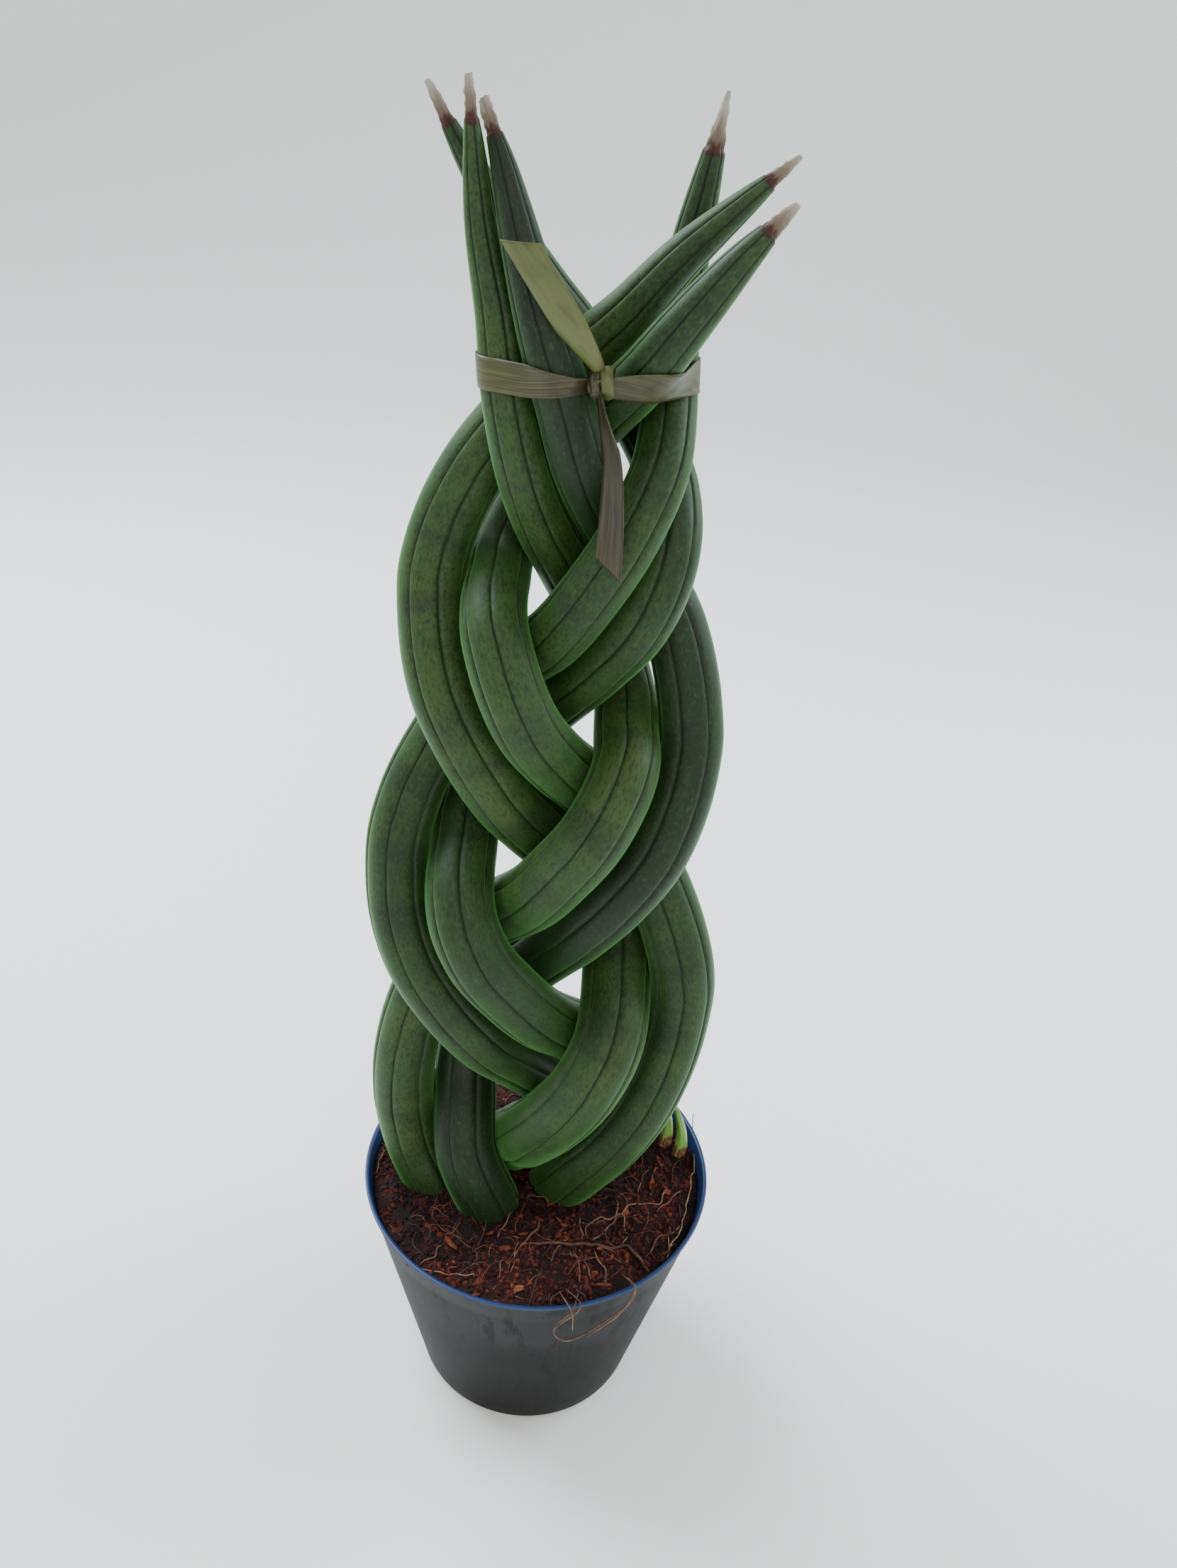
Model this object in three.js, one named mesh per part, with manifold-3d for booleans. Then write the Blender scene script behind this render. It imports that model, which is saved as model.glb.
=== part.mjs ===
// Potted twister snake plant: six round, grooved leaves of a cylindrical snake plant, braided as
// three pairs, tied with a ribbon below their tips and rooted in a thin tapered nursery pot.
// Millimetres, +Z up. The origin is the middle of the pot's underside, and the flat front of the
// braid faces -Y.
import * as THREE from "three";
import { mergeVertices } from "three/addons/utils/BufferGeometryUtils.js";
import Module from "manifold-3d";

const wasm = await Module();
wasm.setup();
const MERGE_DISTANCE = 1e-4;

// Pot
const POT_HEIGHT = 87;
const RIM_RADIUS = 60;
const BASE_RADIUS = 39.5;
const POT_WALL = 1;
const RIM_LIP = { width: 0.6, height: 2.4 };
const POT_SIDES = 64;
const DRAIN = { holes: 8, radius: 3.2, circle: 28, sides: 12 };

// Soil: a low mound with shallow waves. Each wave is given by its turn in radians for a millimetre
// along X, the same along Y, and its start.
const SOIL_TOP = 82;
const SOIL_MOUND = 1.5;
const SOIL_BUMP = 0.9;
const SOIL_WAVES = [[0.31, 0.17, 0], [-0.33, 0.26, 1], [0.47, 0.52, 2]];
const SOIL_RINGS = 6;
const SOIL_SIDES = 36;
const CHIPS = {
  count: 22, length: [5, 12], width: [3, 6], thick: 1.6, sunk: 0.4, tilt: 0.25, inset: 14, seed: 11,
};
const FIT_GAP = 0.35;
const LEAF_HOLE = { sides: 12, step: 3, above: 14 };

// Leaves. A route runs along the middle of a leaf, from its cut foot to the end of its dry tip.
// Going down the braid, each pair of leaves passes over one neighbour in front and under the
// other behind it. Leaves thicken quickly below their ends, over a length set by slimness, and
// then slowly to the full LEAF_RADIUS at GROWN_LENGTH, with girth for a leaf's own thickness.
// The dry tip is DRY_SHARE as thick at its base as the green leaf there.
const LEAF_RADIUS = 10;
const YOUNG_SHARE = 0.68;
const GROWN_LENGTH = 260;
const BLUNTNESS = 0.8;
const DRY_SHARE = 0.85;
const DRY_STATIONS = [0, 0.5, 0.98];
const LEAF_LOBES = 7;
const GROOVE_DEPTH = 0.08;
const LEAF_STATIONS = 43;
const ROUTE_POINTS = 120;

// How the braid settles: the gap kept between leaves, the fall in degrees of the direction, mostly
// to the back, in which leaves give way, the share of a push that goes across that direction, and
// how strongly a leaf evens out its bend, first and last.
const SETTLE = {
  rounds: 240, gap: 0.8, fall: 30, across: 0.3, even: 0.35, evenLast: 0.05, lastFrom: 192,
};

const LEAVES = {
  leaf_a: {
    route: [
      [-24, -6, 44], [-29, -6, 66], [-35, -5, 81], [-42, -1, 96], [-45, 1, 112], [-46, 2, 131],
      [-43, 6, 150], [-36, 10, 167], [-27, 9, 181], [-17, 2, 193], [-8, -8, 206], [0, -15, 220],
      [9, -18, 236], [15, -12, 250], [16, 2, 259], [13, 15, 270], [6, 16, 285], [-3, 11, 301],
      [-11, 4, 317], [-16, -3, 332], [-20, -5, 349], [-23, -4, 368], [-27, -4, 387], [-29, -5, 404],
      [-30.5, -5, 417],
    ],
    slimness: 50, girth: 1, dryTip: 9, tipEnd: 0.9, colour: 0x52703f,
  },
  leaf_b: {
    route: [
      [-8, -12, 44], [-12, -12, 68], [-16, -12, 82], [-21, -10, 95], [-25, -3, 108], [-27, 8, 121],
      [-25, 13, 138], [-18, 12, 154], [-7, 9, 167], [2, 2, 182], [9, -6, 196], [18, -10, 210],
      [27, -9, 225], [32, -5, 242], [33, 1, 259], [31, 6, 276], [26, 11, 291], [16, 11, 306],
      [6, 5, 320], [-1, -5, 335], [-6, -10, 350], [-12, -11, 366], [-18, -9, 383], [-24, -5, 400],
      [-29, -1, 412],
    ],
    slimness: 36, girth: 1, dryTip: 8, tipEnd: 1.3, colour: 0x46663a,
  },
  leaf_c: {
    route: [
      [24, 12, 44], [22, 11, 72], [20, 11, 88], [16, 11, 100], [8, 10, 111], [-3, 5, 122],
      [-12, -2, 136], [-21, -9, 150], [-32, -10, 165], [-41, -8, 180], [-46, -4, 197], [-46, 0, 216],
      [-43, 5, 233], [-36, 10, 249], [-27, 10, 264], [-16, 3, 276], [-5, -6, 289], [4, -11, 304],
      [12, -11, 319], [18, -4, 334], [19, 6, 349], [19, 11, 367], [21, 11, 385], [24, 10, 405],
      [26, 10, 418],
    ],
    slimness: 35, girth: 0.95, dryTip: 13, tipEnd: 0.4, colour: 0x4e6b40,
  },
  leaf_d: {
    route: [
      [8, 26, 44], [14, 27, 72], [19, 29, 88], [24, 27, 102], [25, 23, 118], [19, 13, 134],
      [9, 3, 146], [-1, -8, 160], [-11, -15, 175], [-21, -18, 191], [-27, -13, 207], [-28, 2, 220],
      [-25, 13, 233], [-16, 13, 249], [-5, 8, 264], [7, 2, 279], [17, -4, 295], [22, -2, 311],
      [21, 8, 328], [12, 17, 343], [-1, 20, 358], [-13, 18, 372], [-23, 13, 386], [-34, 9, 402],
      [-42, 9, 415],
    ],
    slimness: 45, girth: 0.97, dryTip: 10, tipEnd: 0.8, colour: 0x4a683c,
  },
  leaf_e: {
    route: [
      [-22, 14, 44], [-18, 13, 68], [-14, 12, 80], [-7, 5, 95], [-3, -6, 110], [4, -15, 126],
      [12, -18, 142], [18, -13, 157], [20, 0, 169], [18, 12, 182], [11, 15, 197], [1, 11, 211],
      [-9, 3, 225], [-18, -4, 240], [-27, -7, 257], [-34, -5, 273], [-37, 0, 290], [-36, 5, 309],
      [-30, 7, 326], [-20, 8, 341], [-6, 7, 355], [7, 5, 368], [19, 1, 383], [32, -1, 396],
      [43, 0, 406],
    ],
    slimness: 42, girth: 1.07, dryTip: 9, tipEnd: 0.6, colour: 0x547244,
  },
  leaf_f: {
    route: [
      [-4, 6, 44], [1, 2, 66], [6, -2, 78], [14, -8, 95], [24, -10, 110], [33, -8, 126],
      [39, -4, 144], [41, -1, 162], [40, 1, 178], [35, 5, 194], [26, 10, 211], [15, 11, 227],
      [5, 3, 240], [-3, -8, 253], [-11, -17, 268], [-17, -17, 283], [-21, -6, 296], [-20, 10, 305],
      [-16, 17, 316], [-7, 15, 331], [3, 5, 345], [12, -6, 357], [21, -12, 371], [32, -14, 386],
      [42, -12, 397],
    ],
    slimness: 26, girth: 0.98, dryTip: 9, tipEnd: 0.9, colour: 0x4d6c3e,
  },
};

// Ribbon: the band lies round all six leaves, its knot sits in the dip between leaves B and F,
// and its two tails are flat strips that start in the knot.
const RIBBON = { width: 7.6, thick: 0.8, gap: 0.5, height: 356 };
const TAUT = { points: 72, start: 60, rounds: 400, pull: 0.9 };
const KNOT = { centre: [2, -14.5, 357], radii: [2.6, 2.6, 3.8], pinned: [1, -12], sides: 12, rings: 8 };
const TAILS = [
  { route: [[2, -15, 358], [-1, -18, 363], [-9, -21, 374], [-19, -22, 388]], turn: [0, 0] },
  { route: [[2, -15, 356], [4, -19, 348], [6, -20, 341], [7, -22, 328], [7, -23, 312]], turn: [80, 30] },
];
const TAIL_STATIONS = 9;
const GATHERED = { share: 0.5, stations: 3 };

// Offset: two young shoots on one short root stock
const OFFSET = {
  stock: { centre: [45, 15, 68], radius: 4, sides: 10, rings: 8 },
  shoots: [
    { route: [[44, 16, 68], [46, 17, 82], [46, 17, 94], [42, 18, 108]], radius: 2.2 },
    { route: [[46, 14, 68], [51, 13, 82], [51, 13, 93], [47, 14, 106]], radius: 2.3 },
  ],
  stations: 8, sides: 8, tipShare: 0.25, swell: 1.6,
};

const toVectors = (points) => points.map((point) => new THREE.Vector3(...point));

// Points an even step apart on a smooth curve through a route.
function tracePath(route, count) {
  const curve = new THREE.CatmullRomCurve3(toVectors(route), false, "centripetal");
  return curve.getSpacedPoints(count - 1);
}

function pathLengths(path) {
  const lengths = [0];
  for (let i = 1; i < path.length; i++) {
    lengths.push(lengths[i - 1] + path[i].distanceTo(path[i - 1]));
  }
  return lengths;
}

// A leaf is thick as far down as its foot and thins towards its end, which is a dry point.
function leafRadius(leaf, fromEnd) {
  const full = (along) => {
    const grown = YOUNG_SHARE + (1 - YOUNG_SHARE) * Math.min(1, along / GROWN_LENGTH);
    return LEAF_RADIUS * leaf.girth * grown * (1 - Math.exp(-along / leaf.slimness)) ** BLUNTNESS;
  };
  if (fromEnd >= leaf.dryTip) return full(fromEnd);
  const base = full(leaf.dryTip) * DRY_SHARE;
  return leaf.tipEnd + (base - leaf.tipEnd) * (fromEnd / leaf.dryTip);
}

// Lets the braid settle. Where two leaves come too close both move apart, and each leaf spreads
// the move along its length, as a springy stem does.
function settle(leaves) {
  const start = leaves.map(({ path }) => path.map((point) => point.clone()));
  const fall = THREE.MathUtils.degToRad(SETTLE.fall);
  const [back, down] = [Math.cos(fall), Math.sin(fall)];
  for (let round = 0; round < SETTLE.rounds; round++) {
    const pushes = leaves.map(({ path }) => path.map(() => ({ move: new THREE.Vector3(), hits: 0 })));
    leaves.forEach((one, a) => leaves.slice(a + 1).forEach((other, skip) => {
      const b = a + 1 + skip;
      one.path.forEach((p, i) => other.path.forEach((q, j) => {
        const need = one.radii[i] + other.radii[j] + SETTLE.gap;
        const dx = p.x - q.x;
        const dy = p.y - q.y;
        const dz = p.z - q.z;
        const square = dx * dx + dy * dy + dz * dz;
        if (square >= need * need) return;
        const away = Math.sqrt(square);
        const half = (need - away) / 2 / away;
        const deep = (dy * back - dz * down) * (1 - SETTLE.across);
        const apart = new THREE.Vector3(dx, dy, dz).multiplyScalar(SETTLE.across);
        apart.add(new THREE.Vector3(0, deep * back, -deep * down)).multiplyScalar(half);
        pushes[a][i].move.add(apart);
        pushes[a][i].hits += 1;
        pushes[b][j].move.sub(apart);
        pushes[b][j].hits += 1;
      }));
    }));
    const even = round < SETTLE.lastFrom ? SETTLE.even : SETTLE.evenLast;
    leaves.forEach(({ path }, a) => {
      path.forEach((point, i) => {
        const { move, hits } = pushes[a][i];
        if (hits) point.addScaledVector(move, 1 / hits);
      });
      const moved = path.map((point, i) => point.clone().sub(start[a][i]));
      path.forEach((point, i) => {
        const before = moved[Math.max(i - 1, 0)];
        const after = moved[Math.min(i + 1, path.length - 1)];
        const middle = before.clone().add(after).multiplyScalar(0.5);
        point.addScaledVector(middle.sub(moved[i]), even);
      });
    });
  }
}

// Directions across a path, carried along it without turning.
function carryFrames(path) {
  let across = new THREE.Vector3(1, 0, 0);
  return path.map((_, i) => {
    const before = path[Math.max(i - 1, 0)];
    const after = path[Math.min(i + 1, path.length - 1)];
    const along = after.clone().sub(before).normalize();
    across = across.clone().addScaledVector(along, -across.dot(along)).normalize();
    return { along, across, up: along.clone().cross(across) };
  });
}

function solidFrom(positions, indices) {
  const geometry = new THREE.BufferGeometry();
  geometry.setAttribute("position", new THREE.Float32BufferAttribute(positions, 3));
  geometry.setIndex(indices);
  return geometry;
}

// A closed tube along a path. outline gives each ring's points as [across, up] pairs.
function sweep(path, outline) {
  const frames = carryFrames(path);
  const positions = [];
  const sides = outline(0).length;
  path.forEach((point, i) => {
    const { across, up } = frames[i];
    outline(i).forEach(([u, v]) => {
      const corner = point.clone().addScaledVector(across, u).addScaledVector(up, v);
      positions.push(...corner.toArray());
    });
  });
  const first = path.length * sides;
  positions.push(...path[0].toArray(), ...path[path.length - 1].toArray());
  const indices = [];
  for (let side = 0; side < sides; side++) {
    const next = (side + 1) % sides;
    for (let i = 0; i < path.length - 1; i++) {
      const [low, high] = [i * sides, (i + 1) * sides];
      indices.push(low + side, low + next, high + next, low + side, high + next, high + side);
    }
    const top = (path.length - 1) * sides;
    indices.push(first, next, side, first + 1, top + side, top + next);
  }
  return solidFrom(positions, indices);
}

function ringOutline(radius, sides) {
  return Array.from({ length: sides }, (_, k) => {
    const angle = (k / sides) * 2 * Math.PI;
    return [radius * Math.cos(angle), radius * Math.sin(angle)];
  });
}

// Three corners to a lobe: one in the groove and two on the flat between grooves.
function lobedOutline(radius) {
  return ringOutline(1, LEAF_LOBES * 3).map(([u, v], k) => {
    const reach = k % 3 === 0 ? radius * (1 - GROOVE_DEPTH) : radius;
    return [u * reach, v * reach];
  });
}

function toManifold(geometry) {
  const bare = geometry.clone();
  bare.deleteAttribute("normal");
  bare.deleteAttribute("uv");
  const merged = mergeVertices(bare, MERGE_DISTANCE);
  return new wasm.Manifold(new wasm.Mesh({
    numProp: 3,
    vertProperties: new Float32Array(merged.attributes.position.array),
    triVerts: new Uint32Array(merged.index.array),
  }));
}

function fromManifold(solid) {
  const { vertProperties, triVerts } = solid.getMesh();
  return solidFrom(Array.from(vertProperties), Array.from(triVerts));
}

const joinAll = (geometries) => geometries.map(toManifold).reduce((whole, piece) => whole.add(piece));

// Leaves in their settled places
const leaves = Object.entries(LEAVES).map(([name, leaf]) => {
  const path = tracePath(leaf.route, ROUTE_POINTS);
  const lengths = pathLengths(path);
  const radii = lengths.map((length) => leafRadius(leaf, lengths[lengths.length - 1] - length));
  return { name, leaf, path, radii };
});
settle(leaves);
leaves.forEach((entry) => {
  entry.curve = new THREE.CatmullRomCurve3(entry.path, false, "centripetal");
  entry.length = entry.curve.getLength();
});

function leafGeometry({ leaf, curve, length }) {
  const dry = DRY_STATIONS.map((share) => share * leaf.dryTip);
  const body = Array.from({ length: LEAF_STATIONS }, (_, k) => (
    leaf.dryTip + (length - leaf.dryTip) * (k / (LEAF_STATIONS - 1))
  ));
  const fromEnd = [...dry, ...body].reverse();
  const path = fromEnd.map((along) => curve.getPointAt(Math.min(1, Math.max(0, 1 - along / length))));
  return sweep(path, (i) => lobedOutline(leafRadius(leaf, fromEnd[i])));
}

// A plain round hole in the soil for a leaf, a little wider and deeper than its foot.
function leafHole({ path, radii }) {
  const { sides, step, above } = LEAF_HOLE;
  const [first, second, ...rest] = path.filter((point, i) => (
    i % step === 0 && point.z < SOIL_TOP + above
  ));
  const down = first.clone().sub(second).normalize();
  const foot = first.clone().addScaledVector(down, FIT_GAP);
  const wider = (radii[0] + FIT_GAP) / Math.cos(Math.PI / sides);
  return sweep([foot, second, ...rest], () => ringOutline(wider, sides));
}

// A tapered shell with a thin lip round its rim and drain holes in its floor.
function potGeometry() {
  const slope = (RIM_RADIUS - BASE_RADIUS) / POT_HEIGHT;
  const outerAt = (z) => BASE_RADIUS + slope * z;
  const lipLow = POT_HEIGHT - RIM_LIP.height;
  const wall = RIM_RADIUS - POT_WALL - RIM_LIP.width;
  const profile = [
    [0, 0], [BASE_RADIUS, 0], [outerAt(lipLow) - RIM_LIP.width, lipLow], [outerAt(lipLow), lipLow],
    [RIM_RADIUS, POT_HEIGHT], [wall, POT_HEIGHT], [BASE_RADIUS - POT_WALL, POT_WALL], [0, POT_WALL],
  ];
  const shell = new THREE.LatheGeometry(profile.map(([r, z]) => new THREE.Vector2(r, z)), POT_SIDES);
  shell.rotateX(Math.PI / 2);
  const holes = Array.from({ length: DRAIN.holes }, (_, k) => {
    const angle = (k / DRAIN.holes) * 2 * Math.PI;
    const hole = new THREE.CylinderGeometry(DRAIN.radius, DRAIN.radius, POT_WALL * 4, DRAIN.sides);
    hole.rotateX(Math.PI / 2);
    hole.translate(DRAIN.circle * Math.cos(angle), DRAIN.circle * Math.sin(angle), POT_WALL / 2);
    return hole;
  });
  return fromManifold(toManifold(shell).subtract(joinAll(holes)));
}

// How far the soil can reach at a height inside the pot.
const innerRadius = (z) => {
  const top = RIM_RADIUS - POT_WALL - RIM_LIP.width;
  const bottom = BASE_RADIUS - POT_WALL;
  return bottom + ((top - bottom) * (z - POT_WALL)) / (POT_HEIGHT - POT_WALL) - FIT_GAP;
};

function soilHeight(x, y) {
  const far = Math.hypot(x, y) / RIM_RADIUS;
  const waves = SOIL_WAVES.map(([alongX, alongY, start]) => Math.sin(alongX * x + alongY * y + start));
  const wave = waves.reduce((sum, height) => sum + height) / waves.length;
  return SOIL_TOP + SOIL_MOUND * (1 - far * far) + SOIL_BUMP * wave;
}

// Random numbers from 0 to 1 that are the same for each seed.
function makeRandom(seed) {
  const [factor, step, span] = [1664525, 1013904223, 2 ** 32];
  let state = seed;
  return () => {
    state = (state * factor + step) % span;
    return state / span;
  };
}

// The soil fills the pot up to its wall. Its top is rings of points round a middle one.
function soilBody() {
  const floor = POT_WALL + FIT_GAP;
  const positions = [0, 0, floor];
  const addRing = (radius, height) => {
    for (let side = 0; side < SOIL_SIDES; side++) {
      const angle = (side / SOIL_SIDES) * 2 * Math.PI;
      const [x, y] = [radius * Math.cos(angle), radius * Math.sin(angle)];
      positions.push(x, y, height ?? soilHeight(x, y));
    }
  };
  const inside = Math.cos(Math.PI / POT_SIDES);
  addRing(innerRadius(floor) * inside, floor);
  const topRadius = innerRadius(SOIL_TOP - SOIL_BUMP) * inside;
  for (let ring = SOIL_RINGS; ring > 0; ring--) addRing((topRadius * ring) / SOIL_RINGS);
  positions.push(0, 0, soilHeight(0, 0));
  const last = positions.length / 3 - 1;
  const indices = [];
  for (let side = 0; side < SOIL_SIDES; side++) {
    const next = (side + 1) % SOIL_SIDES;
    indices.push(0, 1 + next, 1 + side);
    for (let ring = 0; ring < SOIL_RINGS; ring++) {
      const [low, high] = [1 + ring * SOIL_SIDES, 1 + (ring + 1) * SOIL_SIDES];
      indices.push(low + side, low + next, high + next, low + side, high + next, high + side);
    }
    const inner = 1 + SOIL_RINGS * SOIL_SIDES;
    indices.push(inner + side, inner + next, last);
  }
  return solidFrom(positions, indices);
}

// Chips of coir lying in the top of the soil, sunk a little into it.
function soilChips() {
  const random = makeRandom(CHIPS.seed);
  const between = ([low, high]) => low + (high - low) * random();
  return Array.from({ length: CHIPS.count }, () => {
    const angle = random() * 2 * Math.PI;
    const radius = (RIM_RADIUS - CHIPS.inset) * Math.sqrt(random());
    const chip = new THREE.BoxGeometry(between(CHIPS.length), between(CHIPS.width), CHIPS.thick);
    chip.rotateX(between([-CHIPS.tilt, CHIPS.tilt]));
    chip.rotateY(between([-CHIPS.tilt, CHIPS.tilt]));
    chip.rotateZ(random() * Math.PI);
    const [x, y] = [radius * Math.cos(angle), radius * Math.sin(angle)];
    chip.translate(x, y, soilHeight(x, y) + CHIPS.thick * (0.5 - CHIPS.sunk));
    return chip;
  });
}

function shootGeometry({ route, radius }, wider) {
  const path = tracePath(route, OFFSET.stations);
  return sweep(path, (i) => {
    const left = 1 - i / (path.length - 1);
    const thick = radius * Math.min(1, OFFSET.tipShare + OFFSET.swell * left);
    return ringOutline(thick + wider, OFFSET.sides);
  });
}

function offsetGeometries(wider) {
  const { centre, radius, sides, rings } = OFFSET.stock;
  const stock = new THREE.SphereGeometry(radius + wider, sides, rings);
  stock.rotateX(Math.PI / 2);
  stock.translate(...centre);
  return [stock, ...OFFSET.shoots.map((shoot) => shootGeometry(shoot, wider))];
}

// A taut loop round the leaves at one height, pinned at the knot. It starts wide and is pulled
// in, and the leaves hold it out, one ball for each millimetre of leaf.
function tautLoop(height) {
  const posts = leaves.flatMap(({ leaf, curve, length }) => {
    const count = Math.round(length);
    return curve.getSpacedPoints(count)
      .map((point, i) => ({ point, reach: leafRadius(leaf, length * (1 - i / count)) + RIBBON.gap }))
      .filter(({ point, reach }) => Math.abs(point.z - height) < reach);
  });
  const loop = Array.from({ length: TAUT.points }, (_, k) => {
    const angle = -Math.PI / 2 + (k / TAUT.points) * 2 * Math.PI;
    return new THREE.Vector2(TAUT.start * Math.cos(angle), TAUT.start * Math.sin(angle));
  });
  loop[0].set(...KNOT.pinned);
  for (let round = 0; round < TAUT.rounds; round++) {
    for (let k = 1; k < loop.length; k++) {
      const middle = loop[k - 1].clone().add(loop[(k + 1) % loop.length]).multiplyScalar(0.5);
      loop[k].lerp(middle, TAUT.pull);
      posts.forEach(({ point, reach }) => {
        const rise = height - point.z;
        const clear = Math.sqrt(reach * reach - rise * rise);
        const away = loop[k].clone().sub(point);
        if (away.length() < clear) loop[k].add(away.setLength(clear - away.length()));
      });
    }
  }
  return loop;
}

// The band: three loops over its width, each with a second one the ribbon's thickness outside it.
function bandGeometry() {
  const heights = [-0.5, 0, 0.5].map((part) => RIBBON.height + part * RIBBON.width);
  const inner = heights.map(tautLoop);
  const outer = inner.map((loop) => loop.map((point, k) => {
    const before = loop[(k + loop.length - 1) % loop.length];
    const after = loop[(k + 1) % loop.length];
    const along = after.clone().sub(before).normalize();
    return new THREE.Vector2(along.y, -along.x).multiplyScalar(RIBBON.thick).add(point);
  }));
  const rows = [
    [inner[0], heights[0]], [outer[0], heights[0]], [outer[1], heights[1]],
    [outer[2], heights[2]], [inner[2], heights[2]], [inner[1], heights[1]],
  ];
  const positions = rows.flatMap(([loop, z]) => loop.flatMap(({ x, y }) => [x, y, z]));
  const indices = [];
  rows.forEach((_, row) => {
    const [low, high] = [row * TAUT.points, ((row + 1) % rows.length) * TAUT.points];
    for (let k = 0; k < TAUT.points; k++) {
      const next = (k + 1) % TAUT.points;
      indices.push(low + k, low + next, high + next, low + k, high + next, high + k);
    }
  });
  return solidFrom(positions, indices);
}

// A flat strip, gathered at the knot and turned from its first angle there to its second at the
// cut end.
function tailGeometry({ route, turn }) {
  const t = RIBBON.thick / 2;
  return sweep(tracePath(route, TAIL_STATIONS), (i) => {
    const share = i / (TAIL_STATIONS - 1);
    const opened = Math.min(1, GATHERED.share + (1 - GATHERED.share) * (i / GATHERED.stations));
    const w = (opened * RIBBON.width) / 2;
    const angle = THREE.MathUtils.degToRad(turn[0] + (turn[1] - turn[0]) * share);
    const [cos, sin] = [Math.cos(angle), Math.sin(angle)];
    return [[w, -t], [w, t], [-w, t], [-w, -t]].map(([u, v]) => [u * cos - v * sin, u * sin + v * cos]);
  });
}

function ribbonGeometry() {
  const knot = new THREE.SphereGeometry(1, KNOT.sides, KNOT.rings);
  knot.scale(...KNOT.radii);
  knot.translate(...KNOT.centre);
  return fromManifold(joinAll([bandGeometry(), knot, ...TAILS.map(tailGeometry)]));
}

const MATERIALS = {
  pot: new THREE.MeshStandardMaterial({ color: 0x5d6668, roughness: 0.55, metalness: 0 }),
  soil: new THREE.MeshStandardMaterial({ color: 0x4a2f24, roughness: 1, metalness: 0 }),
  ribbon: new THREE.MeshStandardMaterial({ color: 0xc9c08f, roughness: 0.6, metalness: 0 }),
  offset: new THREE.MeshStandardMaterial({ color: 0x7fb356, roughness: 0.5, metalness: 0 }),
};

const plant = new THREE.Group();

function place(name, geometry, material) {
  const mesh = new THREE.Mesh(geometry, material);
  mesh.name = name;
  plant.add(mesh);
}

const soil = joinAll([soilBody(), ...soilChips()])
  .subtract(joinAll([...leaves.map(leafHole), ...offsetGeometries(FIT_GAP)]));

place("pot", potGeometry(), MATERIALS.pot);
place("soil", fromManifold(soil), MATERIALS.soil);
leaves.forEach((entry) => place(
  entry.name,
  leafGeometry(entry),
  new THREE.MeshStandardMaterial({ color: entry.leaf.colour, roughness: 0.55, metalness: 0 }),
));
place("ribbon", ribbonGeometry(), MATERIALS.ribbon);
place("offset", fromManifold(joinAll(offsetGeometries(0))), MATERIALS.offset);

export default plant;
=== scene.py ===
# Potted twister snake plant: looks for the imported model. Metres, +Z up, the same frame as the solids.
# The sections follow the plant as it is potted: stage, pot, soil, leaves, young shoots, ribbon, roots.
import math
import bmesh
import bpy
import numpy as np
from mathutils import Matrix, Vector, noise


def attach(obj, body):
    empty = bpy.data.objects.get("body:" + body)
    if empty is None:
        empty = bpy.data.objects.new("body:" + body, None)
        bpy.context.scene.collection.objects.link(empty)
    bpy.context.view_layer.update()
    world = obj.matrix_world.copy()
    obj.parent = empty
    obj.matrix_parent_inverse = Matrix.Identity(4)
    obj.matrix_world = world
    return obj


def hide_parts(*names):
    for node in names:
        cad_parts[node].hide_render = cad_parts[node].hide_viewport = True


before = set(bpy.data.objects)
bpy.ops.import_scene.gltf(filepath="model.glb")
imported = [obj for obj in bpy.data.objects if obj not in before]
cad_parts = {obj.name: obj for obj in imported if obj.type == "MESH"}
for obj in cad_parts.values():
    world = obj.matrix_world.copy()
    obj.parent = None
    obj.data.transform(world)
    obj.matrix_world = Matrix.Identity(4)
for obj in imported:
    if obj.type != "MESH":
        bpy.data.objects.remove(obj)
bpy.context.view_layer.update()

# Stage
# A plain pale floor that curves up into a wall all round, under soft daylight from the upper left
# and behind. The camera looks down at the plant from the front, as the photo does.
MM = 0.001
FLOOR_RADIUS = 1.5
COVE_RADIUS = 0.8
WALL_TOP = 1.7
COVE_STEPS = 12
FLOOR_SIDES = 96
PHOTO_SIZE = (1660, 2212)
FOCAL_PIXELS = 1700
SENSOR = 36
CAMERA_PLACE = (0.0012, -0.3032, 0.4144)
CAMERA_PITCH = 29.7
CAMERA_YAW = 1.1
CAMERA_ROLL = 4.7


def linear(colour):
    """An sRGB hex value as linear red, green, blue and alpha."""
    parts = [int(colour[i:i + 2], 16) / 255 for i in (1, 3, 5)]
    return [p / 12.92 if p <= 0.04045 else ((p + 0.055) / 1.055) ** 2.4 for p in parts] + [1.0]


def add_node(tree, kind, inputs=(), give=None, stops=(), **settings):
    """Adds a node and returns one of its output sockets, the first unless give names another.
    Inputs are values or sockets to link, in order or by name, and stops fill a colour ramp."""
    node = tree.nodes.new(kind)
    for name, value in settings.items():
        setattr(node, name, value)
    sockets = [socket for socket in node.inputs if socket.enabled]
    named = inputs.items() if isinstance(inputs, dict) else enumerate(inputs)
    for key, value in named:
        socket = sockets[key] if isinstance(key, int) else next(s for s in sockets if s.name == key)
        if isinstance(value, bpy.types.NodeSocket):
            tree.links.new(value, socket)
        else:
            socket.default_value = value
    for i, (place, colour) in enumerate(stops):
        ramp = node.color_ramp.elements
        stop = ramp[i] if i < len(ramp) else ramp.new(place)
        stop.position = place
        stop.color = linear(colour)
    outputs = [socket for socket in node.outputs if socket.enabled]
    return next((s for s in outputs if give in (None, s.name)), None)


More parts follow.
